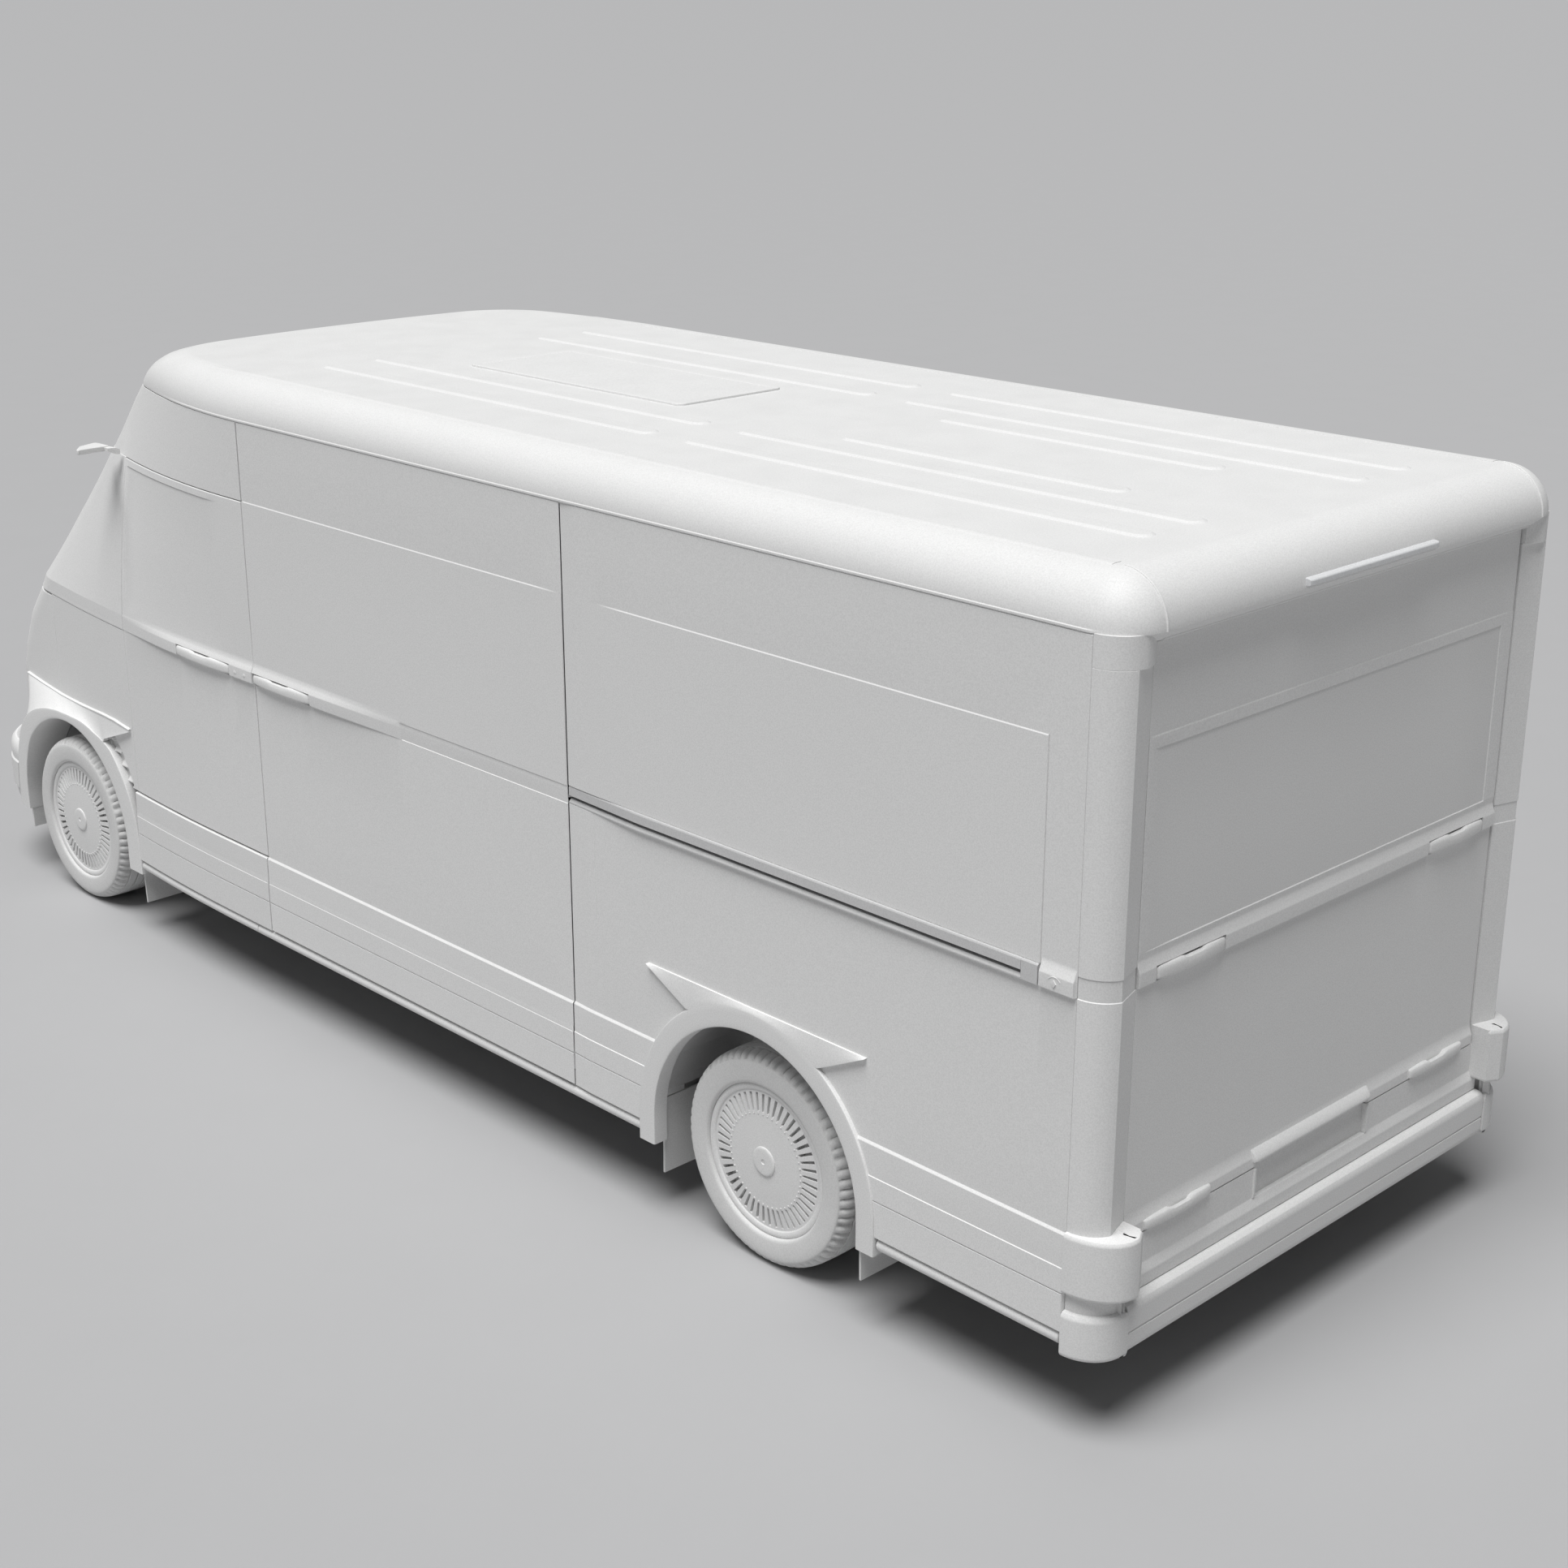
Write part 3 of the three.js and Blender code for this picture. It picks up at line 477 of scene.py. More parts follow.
def profile(table, z):
    heights, outs = zip(*table)
    return np.interp(z, heights, outs) / 1000


def heights(*tables):
    return [z for table in tables for z, _ in table if 0.3 < z < 2.3]


def smooth_step(value, low, high):
    t = np.clip((value - low) / (high - low), 0, 1)
    return t * t * (3 - 2 * t)


def side_grid(ys, zs):
    y, z = np.meshgrid(ys, zs)
    return y, z, np.stack([side_x(y, z), y, z], -1)


# ---- Rear side panels ----
SEAM_Y = 2.956
FAINT_SEAM_Y = 1.165
SEAM_WIDTH = 0.003
END_BELT_Y = [SEAM_Y + 0.003, SEAM_Y + 0.0045, 3.0745, 3.0765]
SHUT = 0.0011
REAR_CUT_R = 0.5


def groove(value, at, width, deep):
    return -deep * np.clip(1 - np.abs(value - at) / (width / 2), 0, 1)


def side_panel(name, front, dip):
    """A rear side panel from its front edge to the corner. dip sinks the edge that the sliding door meets."""
    breaks = [1.12, 1.14, 1.16, 1.18, 1.2, *step_at(SEAM_Y, FAINT_SEAM_Y, width=SEAM_WIDTH), SEAM_Y,
              FAINT_SEAM_Y]
    ys = stations(front, SIDE_REAR - 0.0008, breaks + END_BELT_Y, 0.12)
    zs = stations(SKIRT_LOW, GUTTER_Z - GAP, heights(SKIRT_REAR, BELT, CREASE), 0.2)
    y, z, points = side_grid(ys, zs)
    relief = profile(SKIRT_REAR, z)
    crease = profile(CREASE, z) * (z > 1.3) * (y < SEAM_Y)
    ramp_in = smooth_step(y, 1.12, 1.2)
    relief += crease * (ramp_in if dip else 1)
    if dip:
        relief -= GAP * np.clip(1 - (y - front) / 0.08, 0, 1)
    relief += groove(y, SEAM_Y, SEAM_WIDTH, 0.002) * ((z > BELT_HIGH) & (z < CREASE_Z))
    relief += groove(y, FAINT_SEAM_Y, SEAM_WIDTH, 0.0012) * ((z > 0.624) & (z < BELT_LOW))
    relief += profile(BELT, z) * np.interp(y, END_BELT_Y, [0, 1, 1, 0.3])
    return panel(name, points, PANEL, relief)


left_side = side_panel("side_panel_left_skin", SLIDER_REAR + SHUT, True)
rail_cutter = box("cutter", 0.8, 1.2, 0.9, SEAM_Y + 0.001, 1.2955, 1.3555)
boolean(left_side, [arch_cutter(REAR_AXLE, REAR_CUT_R), rail_cutter])
finish(left_side, BODY, "body_paint", ["side_panel_left"])
right_side = boolean(side_panel("right_side", CAB_REAR + GAP, False), [arch_cutter(REAR_AXLE, REAR_CUT_R)])
right_side = mirror_of(right_side, "side_panel_right_skin", alone=True)
finish(right_side, BODY, "body_paint", ["side_panel_right"])

# ---- Belt rail ----
RAIL_BACK = 0.905
RAIL_X = [(1.041, 1.0245), (1.383, 1.0405), (2.955, 1.0405)]


def rail_section(y, slot_low, slot_high):
    """The rail's section at y, as x, z points: a deep channel behind two lips."""
    face = np.interp(y, *zip(*RAIL_X))
    outline = [(RAIL_BACK, 1.2965), (face - 0.001, 1.2965), (face, 1.2975), (face, 1.3015),
               (face - 0.0075, slot_low)]
    outline += [(0.915, slot_low), (0.915, slot_high), (face - 0.0015, slot_high), (face, slot_high + 0.001)]
    outline += [(face, 1.3495), (face - 0.003, 1.3535), (face - 0.006, 1.3545), (RAIL_BACK, 1.3545)]
    return [(x, y, z) for x, z in outline]


def loft(name, sections):
    """A closed solid through rings of points, with flat ends."""
    rows, cols = len(sections), len(sections[0])
    faces = grid_faces(rows, cols, closed=True)
    faces += [list(range(cols)), [(rows - 1) * cols + j for j in range(cols - 1, -1, -1)]]
    return mesh_object(name, [p for section in sections for p in section], faces)


channel = loft("rail_channel", [rail_section(y, 1.3103, 1.3217) for y in (1.041, 1.2, 1.383, 2.0, 2.899)])
block = [(RAIL_BACK, 1.2965), (1.04, 1.2965), (1.04, 1.3505), (1.036, 1.3545), (RAIL_BACK, 1.3545)]
end_block = prism("rail_end", block, "y", 2.8995, 2.955)
rail = joined("slide_rail_skin", [channel, end_block])
finish(rail, BODY, "metal", ["slide_rail_left"], bevel=0.0006, segments=2)


def lock_mark(y, z, x):
    """A small diamond button under a raised arc."""
    corners = [(y, z - 0.011), (y + 0.008, z), (y, z + 0.011), (y - 0.008, z)]
    ring = []
    for radius, turn in ((0.026, (35, 145)), (0.023, (145, 35))):
        ring += [(y + radius * math.cos(a), z - 0.006 + radius * math.sin(a))
                 for a in np.radians(np.linspace(*turn, 14))]
    parts = [prism("diamond", corners, "x", x - 0.003, x + 0.003),
             prism("arc", ring, "x", x - 0.002, x + 0.001)]
    return joined("rail_plate_button", parts)


finish(lock_mark(3.012, 1.318, HALF_WIDTH + 0.012), BODY, "trim", bevel=0.0008, segments=2)


# ---- Rockers, skirts and tubes ----
TUBE_Z = 0.297
TUBE_R = 0.0215
TUBE_ROLL = 0.006


def tube(y0, y1):
    """The round rail along the body's foot, with rounded ends."""
    ys = stations(y0, y1, [], 0.25, roll=TUBE_ROLL)
    sections = []
    for y in ys:
        near_end = min(y - y0, y1 - y, TUBE_ROLL)
        radius = TUBE_R - TUBE_ROLL + math.sqrt(max(0, TUBE_ROLL**2 - (TUBE_ROLL - near_end) ** 2))
        centre = side_x(y, TUBE_Z) - 0.0145
        sections.append([(centre + radius * math.cos(a), y, TUBE_Z + radius * math.sin(a))
                         for a in circle(28)])
    return loft("tube", sections)


def rocker():
    ys = stations(-1.767, CAB_REAR - GAP, [], 0.15)
    zs = stations(SKIRT_LOW, SKIRT_TOP - 0.003, heights(SKIRT_FRONT)[:9], 0.1)
    y, z, points = side_grid(ys, zs)
    relief = profile(SKIRT_FRONT, z)
    relief += groove(y, -1.757, 0.003, 0.002) * (z < 0.439)
    return panel("rocker", points, 0.03, relief)


pair(rocker, "rocker_skirt", BOTH, "trim", "rocker_skirt")
pair(lambda: joined("tube", [tube(-1.766, -0.864), tube(-0.862, 1.366)]), "rocker_tube", BOTH, "trim")
pair(lambda: tube(2.394, 3.07), "rear_tube", BOTH, "trim")


def under_sill():
    """The closing strip between the skirts and the tubes, set back behind both."""
    ys = stations(-1.76, 3.06, [1.36, 2.4], 0.2)
    y, z = np.meshgrid(ys, [0.27, 0.345])
    return panel("sill", np.stack([side_x(y, z) - 0.033, y, z], -1), 0.006, rolled=(False, False))


pair(lambda: boolean(under_sill(), [arch_cutter(REAR_AXLE, REAR_CUT_R)]), "under_sill", BOTH, "trim")

# ---- Sliding door ----
SLIDER_Y = (CAB_REAR + 0.002, SLIDER_REAR - 0.0004)
HANDLE_BACK = 1.02
HANDLE_Z = (1.2975, 1.3385)
POCKET_Z = (1.29, 1.3395)
PANE_DEPTH = 0.003
DOOR_HANDLE_Y = (-1.286, -0.911)
SLIDER_HANDLE_Y = (-0.75, -0.384)


def pocket(ys):
    """The cutter for the hollow that a side handle lies in."""
    return box("cutter", HANDLE_BACK - GAP, 1.2, ys[0] - 0.002, ys[1] + 0.002, *POCKET_Z)


def sliding_door():
    """The sliding door. Its inside slopes, so that it can slide back over the side panel."""
    ys = stations(*SLIDER_Y, [-0.74, 0.145, 0.155, *np.linspace(-0.38, 0.2, 9)], 0.12)
    zs = stations(SKIRT_LOW + GAP, GUTTER_Z - GAP, heights(SKIRT_FRONT, BELT, BAND, CREASE), 0.2)
    y, z, points = side_grid(ys, zs)
    points[..., 0] = HALF_WIDTH
    skirt = profile(SKIRT_FRONT, z)
    sunk = profile(BAND, z) * np.interp(y, [0.145, 0.155], [0.6, -1.6])
    relief = skirt + strip(y, z) + sunk + profile(CREASE, z) * (z > 1.3)
    thick = 0.003 + SLIDE_SLOPE * (SLIDER_Y[1] - y) - skirt
    made = panel("sliding_door_skin", points, thick, relief, roll=0.0025)
    return boolean(made, [pocket(SLIDER_HANDLE_Y)])


finish(sliding_door(), "sliding_door_body", "body_paint", ["sliding_door_left"])


# ---- Front doors ----
def front_door():
    """A cab door: belt strip, sunken pane that fades out at its rear and foot, and the handle's pocket."""
    ys = stations(DOOR_FRONT, CAB_REAR - 0.003, [*step_at(-1.722, width=0.0016), -1.02, -0.93], 0.05)
    breaks = heights(BELT, BAND) + step_at(1.94, width=0.0016) + [1.45, 1.38]
    zs = stations(SKIRT_TOP + GAP, CREASE_Z - GAP, breaks, 0.15)
    y, z, points = side_grid(ys, zs)
    inset = np.interp(y, [-1.7228, -1.7212, -1.02, -0.93], [0, 1, 1, 0])
    inset *= np.interp(z, [1.38, 1.45, 1.9392, 1.9408], [0, 1, 1, 0])
    relief = strip(y, z) + profile(BAND, z) - PANE_DEPTH * inset + 0.0022 * np.interp(z, [1.38, 1.6], [0, 1])
    return boolean(panel("door", points, 0.046, relief), [pocket(DOOR_HANDLE_Y)])


pair(front_door, "front_door", ("front_door_body_left", "front_door_body_right"), "body_paint", "front_door")


# ---- Cab sides ----
def row_path(z, y_rear, part_end, side_steps, corner_steps):
    """x, y along the body at one height: the side from y_rear to the corner, then a part of the corner."""
    reach = np.interp(z, CORNER_Z, CORNER_Y) - y_rear
    side = [(side_x(y_rear + reach * t, z), y_rear + reach * t) for t in side_steps]
    return side + [corner_point(z, part_end * t) for t in corner_steps]


CAB_BAND_Z = [1.2945, 1.2965, 1.309, 1.3105, 1.3535, 1.3555]


def cab_relief(z):
    relief = np.interp(z, [1.36, 1.6, 1.9685, 1.972], [0, 0.0022, 0.0022, 0])
    return relief + 0.0016 * np.interp(z, CAB_BAND_Z, [0, 1, 1, 0.5, 0.5, 0])


def cab_part(y_rear, low, high):
    """The cab's side between two heights, from y_rear round to the windscreen pillar."""
    side_steps = [0, 0.0004, 0.0015, 0.003, *np.linspace(0.04, 0.96, 22), 1]
    corner_steps = [*np.linspace(0.1, 0.9, 9), 0.98, 0.992, 0.998, 1]
    zs = stations(low, high, [*CAB_BAND_Z, 1.6, 1.972], 0.06, roll=0.0015)
    rows = [(z, row_path(z, y_rear, PILLAR_PART, side_steps, corner_steps)) for z in zs]
    points = np.array([[(x, y, z) for x, y in row] for z, row in rows])
    return panel("cab", points, PANEL, cab_relief(points[..., 2]), roll=0.0015)


def upper_cab():
    over_door = cab_part(CAB_REAR - GAP, CREASE_Z, GUTTER_Z - GAP)
    return joined("cab", [over_door, cab_part(DOOR_FRONT - 0.002, 1.2925, CREASE_Z - 0.0002)])


FENDER_CUT = [(-1.76, 0.2), (-1.76, 0.88), (-1.905, 0.888), (-2.03, 0.885), (-2.24, 0.872), (-2.46, 0.862),
              (-2.7, 0.858), (-2.884, 0.854), *arc(FRONT_AXLE, 0.548, 148, 180, 12), (-2.856, 0.2)]


def fender_cutter():
    return prism("cutter", FENDER_CUT[::-1], "x", 0.5, 1.2)


def fender_cutters():
    return [fender_cutter(), mirror_of(fender_cutter(), "cutter", alone=True)]


def lower_cab():
    ys = stations(-2.47, DOOR_FRONT - 0.002, [], 0.06)
    zs = stations(0.84, 1.2915, [], 0.06)
    _, _, points = side_grid(ys, zs)
    return boolean(panel("cab", points, PANEL, 0.0), [fender_cutter()])


pair(upper_cab, "cab_side", BOTH, "body_paint", "cab_side")
pair(lower_cab, "cab_side_lower", BOTH, "body_paint")


# ---- Nose, windscreen, bumper, headlights ----
def full_row(z, half):
    """A left half path of x, y points as a whole row, mirrored about the centreline."""
    return [(x, y, z) for x, y in half] + [(-x, y, z) for x, y in half[-2::-1]]


def nose_half(z):
    side_steps = [0, 0.003, 0.01, 0.2, 0.5, 0.8, 1]
    half = row_path(z, -2.474, 1.0, side_steps, np.linspace(0.07, 1, 14))
    return half + [front_point(z, t) for t in np.linspace(0.1, 1, 10)]


def nose():
    zs = stations(0.572, 1.285, heights([(0.872, 0), (0.973, 0)]), 0.03, roll=0.006)
    points = np.array([full_row(z, nose_half(z)) for z in zs])
    x, z = points[..., 0], points[..., 2]
    grille = np.interp(z, [0.61, 0.614, 0.676, 0.68], [0, 1, 1, 0]) * (np.abs(x) < 0.52)
    slats = 0.5 + 0.5 * np.sign(np.sin((z - 0.61) * 2 * math.pi / 0.0165))
    made = panel("nose_skin", points, PANEL, -0.01 * grille * slats, roll=0.006)
    return boolean(made, fender_cutters())


finish(nose(), BODY, "body_paint", ["nose_panel"])


def windscreen():
    zs = stations(1.292, GUTTER_Z - GAP, [], 0.04)
    points = []
    for z in zs:
        parts = [0, 0.002, 0.006, *np.linspace(0.06, 1, 14)]
        half = [corner_point(z, PILLAR_PART + 0.012 + (0.988 - PILLAR_PART) * t) for t in parts]
        half += [front_point(z, t) for t in np.linspace(0.1, 1, 10)]
        points.append(full_row(z, half))
    return panel("windscreen_skin", np.array(points), 0.012, -0.004)


finish(windscreen(), BODY, "glass", ["windscreen"])


def bumper():
    """The front bumper: a wrapped bar whose foot and top are drawn in."""
    radius = 0.37
    breaks = [0.3, 0.345, 0.352, 0.47, 0.477, 0.52, 0.545]
    zs = stations(0.255, 0.566, breaks, 0.03, roll=0.01)
    draws = [0.045, 0.015, 0.008, 0.0, 0.0, 0.006, 0.004, 0.01, 0.03]
    drawn = np.interp(zs, [0.255, *breaks, 0.566], draws)
    points = []
    for z, draw in zip(zs, drawn):
        half = [(0.985, y) for y in (-2.76, -2.79, -2.815)]
        half += [(0.985 - radius * (1 - math.cos(a)), -2.815 - radius * math.sin(a))
                 for a in np.radians(np.linspace(6, 84, 14))]
        end_x, end_y = half[-1]
        for t in np.linspace(0.12, 1, 9):
            half.append((end_x * (1 - t), end_y - (HALF_LENGTH + end_y) * (1 - (1 - t) ** 2)))
        grid = np.array(full_row(z, half))
        across = np.gradient(grid, axis=0)
        inward = np.stack([-across[:, 1], across[:, 0], 0 * across[:, 0]], -1)
        inward /= np.linalg.norm(inward, axis=1, keepdims=True)
        if np.sum(inward * (np.array([0, -2.4, z]) - grid)) < 0:
            inward = -inward
        points.append(grid + inward * draw)
    made = panel("front_bumper_skin", np.array(points), 0.06, 0.0, roll=0.01)
    return boolean(made, fender_cutters())


finish(bumper(), BODY, "trim", ["front_bumper"])


def headlight():
    zs = stations(0.73, 0.925, [0.75, 0.905], 0.03, roll=0.005)
    parts = [0.5, 0.503, 0.508, 0.53, 0.56, 0.6, 0.65, 0.7, 0.75, 0.8, 0.85, 0.89, 0.92, 0.942, 0.947, 0.95]
    points = np.array([[(*corner_point(z, p), z) for p in parts] for z in zs])
    inside = np.interp(points[..., 2], [0.748, 0.756, 0.899, 0.907], [0, 1, 1, 0])
    inside = inside * np.interp(np.array(parts), [0.525, 0.535, 0.915, 0.925], [0, 1, 1, 0])[None, :]
    ribs = 0.35 * (np.arange(len(parts)) % 2)[None, :]
    return panel("headlight", points, 0.0, 0.014 - 0.004 * inside * (1 - ribs), roll=0.004)


pair(headlight, "headlight", BOTH, "glass", "headlight")


# ---- Wheel arches ----
FOOT_ROWS = 4


def ray_point(axle, angle, radius, drop=0.0):
    """y, z on a ray from an axle: the angle in degrees from straight back, and the point lowered by drop."""
    a = math.radians(angle)
    return axle + radius * math.cos(a), TYRE_R + radius * math.sin(a) - drop


def arch_ring(axle, radius, face, flange, feet, steps=64):
    """The flat lip round an arch, from its deep inner flange over rolled edges to the body.
    radius is the lip's outer edge at each angle, face its x at each y, and feet the heights of its rear and
    front ends."""
    sections = []
    for i in range(-FOOT_ROWS, steps + FOOT_ROWS + 1):
        angle = min(180, max(0, 180 * i / steps))
        outer = radius(angle)
        drop = (TYRE_R - feet[0 if i < 0 else 1]) * (max(0, -i, i - steps) / FOOT_ROWS)
        lip = [(ARCH_R, -0.006), (ARCH_R + 0.0018, -0.0018), (ARCH_R + 0.006, 0.0)]
        lip += [(ARCH_R + (outer - ARCH_R) * t, 0.0) for t in (0.35, 0.7)]
        lip += [(outer - 0.005, 0.0), (outer - 0.0015, -0.0015), (outer, -0.005)]
        section = [(flange, *ray_point(axle, angle, ARCH_R, drop))]
        for r, out in lip:
            y, z = ray_point(axle, angle, r, drop)
            section.append((face(y) + out, y, z))
        section.append((side_x(y, z) - 0.03, y, z))
        section.append((flange, *ray_point(axle, angle, ARCH_R + 0.02, drop)))
        sections.append(section)
    return loft("ring", sections)


WING_COLUMNS = 64
WING_ROWS = [0, 0.01, 0.03, 0.1, 0.2, 0.32, 0.45, 0.6, 0.75, 0.88, 0.95, 0.97, 0.985, 1]
WING_THICK = 0.03


def resample(points, count):
    """The same line with count points, evenly spaced along it."""
    points = np.array(points)
    length = np.concatenate([[0], np.cumsum(np.linalg.norm(np.diff(points, axis=0), axis=1))])
    at = np.linspace(0, length[-1], count)
    return np.stack([np.interp(at, length, points[:, i]) for i in (0, 1)], -1)


def wing(bottom, top, x_bottom, x_top, bulge):
    """The flared sheet between an arch's ring and the crest over it. Both edges are lists of y, z points."""
    low, high = resample(bottom, WING_COLUMNS), resample(top, WING_COLUMNS)
    x_low = x_bottom(low[:, 0], low[:, 1])
    x_high = x_top(high[:, 0], high[:, 1])
    rows = []
    for t in WING_ROWS:
        yz = low + (high - low) * t
        rows.append(np.stack([x_low + (x_high - x_low) * t**bulge, yz[:, 0], yz[:, 1]], -1))
    outer = np.array(rows)
    return shell("wing", outer, outer - np.array([WING_THICK, 0, 0]))


REAR_FACE = HALF_WIDTH + 0.0145
REAR_RING_R = 0.512
CREST_Z = 0.873
FOOT_Z = 0.2595


def rear_trim():
    ring = arch_ring(REAR_AXLE, lambda angle: REAR_RING_R, lambda y: REAR_FACE, 0.99, (FOOT_Z, FOOT_Z))
    notch = math.degrees(math.acos((REAR_AXLE - 1.597) / REAR_RING_R))
    front, rear = 1.413, 2.345
    low = [(front, CREST_Z - 0.001), (1.597, 0.78)]
    low += arc(REAR_AXLE, REAR_RING_R - 0.004, 180 - notch, notch, 40)[1:-1]
    low += [(2.161, 0.78), (rear, CREST_Z - 0.001)]
    high = [(front, CREST_Z), (rear, CREST_Z)]
    foot_x, crest_x = REAR_FACE - 0.0005, HALF_WIDTH + 0.006
    sheet = wing(low, high, lambda y, z: foot_x + 0 * y, lambda y, z: crest_x + 0 * y, 1.6)
    return joined("trim", [ring, sheet])


pair(rear_trim, "rear_arch", BOTH, "trim", "rear_arch_trim", angle=40)


def front_face(y):
    """How far out the front ring stands at each y."""
    return np.interp(y, [-2.853, -2.65, -1.7], [0.985, 1.012, 1.015])


def front_wing_foot(y, z):
    """How far out the front wing's lower edge stands. It only depends on y."""
    return np.interp(y, [-2.853, -2.65, -1.977, -1.756], [0.984, 1.0115, 1.0135, 1.0155])


def front_ring_radius(angle):
    """The front ring is narrow over the wheel and wider at its feet."""
    return np.interp(angle, [48, 54, 62, 73, 83, 93, 104, 115, 125, 137, 146],
                     [0.543, 0.53, 0.508, 0.493, 0.478, 0.475, 0.483, 0.498, 0.515, 0.53, 0.541])


def front_fender():
    ring = arch_ring(FRONT_AXLE, front_ring_radius, front_face, 0.832, (FOOT_Z, 0.286))
    low = [ray_point(FRONT_AXLE, a, front_ring_radius(a) - 0.004) for a in np.linspace(150, 53, 50)]
    low += [(-1.985, 0.79), (-1.766, 0.87)]
    high = [(-2.84, 0.66), (-2.884, 0.85), (-2.7, 0.853), (-2.46, 0.857), (-2.24, 0.867), (-2.03, 0.88),
            (-1.905, 0.883), (-1.766, 0.876)]
    sheet = wing(low, high, front_wing_foot, lambda y, z: side_x(y, z) + 0.009, 0.8)
    bead = [(0.006, 0.0055), (0.0115, 0.0035), (0.0115, -0.0015), (-0.02, -0.004), (-0.02, 0.0055)]
    crest = [[(side_x(y, z) + dx, y, z + dz) for dx, dz in bead] for y, z in high[1:]]
    return joined("fender", [ring, sheet, loft("crest", crest)])


pair(front_fender, "front_fender", BOTH, "body_paint", "front_fender", angle=40)


def louvre_panel():
    """The filler between the front ring and the door, with a recessed strip of louvres along the ring."""
    ys = stations(-2.06, DOOR_FRONT - 0.0015, [], 0.04)
    zs = stations(0.622, 0.882, [], 0.04)
    _, _, points = side_grid(ys, zs)
    made = boolean(panel("louvre", points, 0.03, 0.0), [arch_cutter(FRONT_AXLE, 0.535)])
    edge = [ray_point(FRONT_AXLE, a, 0.54) for a in np.linspace(27, 60, 12)]
    edge += [ray_point(FRONT_AXLE, a, 0.598) for a in np.linspace(54, 29, 9)]
    made = boolean(made, [prism("strip", edge, "x", 0.979, 1.2)])
    slats = []
    for angle in (32, 39, 46, 53):
        y, z = ray_point(FRONT_AXLE, angle, 0.571)
        ring = [(0.97, z - 0.018), (0.99, z - 0.017), (0.9925, z - 0.014), (0.9925, z - 0.01),
                (0.972, z + 0.016)]
        slats.append(prism("slat", ring, "y", y - 0.026, y + 0.026))
    return joined("louvre", [made] + slats)


pair(louvre_panel, "louvre_panel", BOTH, "body_paint", angle=30)


def flap(y_top, y_bottom, z_top, z_bottom, x0, x1):
    """A hanging sheet across the wheel, that may lean between its top and its bottom."""
    half = 0.004
    outline = [(y_bottom - half, z_bottom), (y_bottom + half, z_bottom), (y_top + half, z_top),
               (y_top - half, z_top)]
    return prism("flap", outline, "x", x0, x1)


FLAPS = {
    "mud_flap": [(-1.806, -1.8, 0.255, 0.119, 0.745, 0.985), (-1.814, -1.806, 0.42, 0.253, 0.745, 0.9)],
    "front_flap": [(-2.755, -2.751, 0.33, 0.2, 0.7, 0.984)],
    "rear_flap_front": [(1.425, 1.421, 0.4, 0.135, 0.72, 0.99)],
    "rear_flap_rear": [(2.323, 2.327, 0.4, 0.15, 0.76, 1.028)],
}
for name, sheets in FLAPS.items():
    node = name if name == "mud_flap" else None
    made = lambda: joined("flap", [flap(*sheet) for sheet in sheets])
    pair(made, name, BOTH, "rubber", node, bevel=0.002, segments=2)

# ---- Roof ----
CORNER_CENTRE = (HALF_WIDTH - SHOULDER, 3.194 - SHOULDER)


def roof_half(z, ends):
    """x, y round the roof's left half at one height, from the middle of the rear to that of the front."""
    half = [(x, CORNER_CENTRE[1] + ends) for x in (0, 0.3, 0.6, 0.8)]
    half += [(CORNER_CENTRE[0] + ends * math.sin(a), CORNER_CENTRE[1] + ends * math.cos(a))
             for a in np.radians(np.linspace(0, 90, 13))]
    ys = [3.0, 2.5, 2.0, 1.5, 1.0, 0.5, 0, -0.4, -0.6, -0.74, -0.82, -0.9, -0.98, -1.06, -1.14, -1.22, -1.3]
    half += [(side_x(y, z), y) for y in ys]
    last = ys[-1]
    to_corner = np.interp(z, CORNER_Z, CORNER_Y) - last
    middle = last + to_corner * 0.5
    half.append((side_x(middle, z), middle) if to_corner < -0.01 else half[-1])
    half += [corner_point(z, t) for t in np.linspace(0, 1, 15)]
    return half + [front_point(z, t) for t in np.linspace(0.15, 1, 7)]


LIP_TOP = math.radians(2.5)
LIP_Y = [-1.45, -1.2, 3.076, 3.077]


def roof_shell(inset, low_lip):
    """Rows of points from the gutter up to the flat top, drawn in by inset on every side.
    Below LIP_TOP, the sides stand out by low_lip over the length LIP_Y."""
    rows = []
    for phi in np.radians([0, 1, 2, 3, 4, 8, *range(14, 81, 6), 85, 88, 90]):
        z = GUTTER_Z + SHOULDER * math.sin(phi)
        lip = low_lip if phi < LIP_TOP else 0.0
        row = []
        for x, y in roof_half(z, SHOULDER * math.cos(phi)):
            drawn_x = max(0.0, abs(x) - inset) * (1 if x >= 0 else -1)
            drawn_y = y - inset if y > 0 else y + inset
            row.append((drawn_x + lip * np.interp(y, LIP_Y, [0, 1, 1, 0]), drawn_y, z - inset))
        rows.append(row + [(-x, y, z) for x, y, z in row[-2:0:-1]])
    return rows


def roof():
    """The roof as an outer and an inner skin, joined along the gutter."""
    outer = roof_shell(0.0, 0.0022)
    inner = roof_shell(0.03, 0.0)
    verts, faces = [], []
    cols = len(outer[0])
    for rows, flip in ((outer, False), (inner, True)):
        start = len(verts)
        verts += [p for row in rows for p in row]
        faces += grid_faces(len(rows), cols, start, flip, closed=True)
        top = start + (len(rows) - 1) * cols
        faces.append([top + j for j in range(cols)])
    second = len(outer) * cols
    for j in range(cols):
        k = (j + 1) % cols
        faces.append([j, k, second + k, second + j])
    return mesh_object("roof_skin", verts, faces, 1e-5)


finish(roof(), BODY, "body_paint", ["roof_panel"], angle=35)
header = [(3.11, 2.224), (3.166, 2.224), (3.17, 2.228), (3.17, 2.246), (3.164, 2.2585), (3.11, 2.2585)]
finish(prism("rear_header", header, "x", -0.866, 0.866), BODY, "body_paint", bevel=0.0012, segments=2)


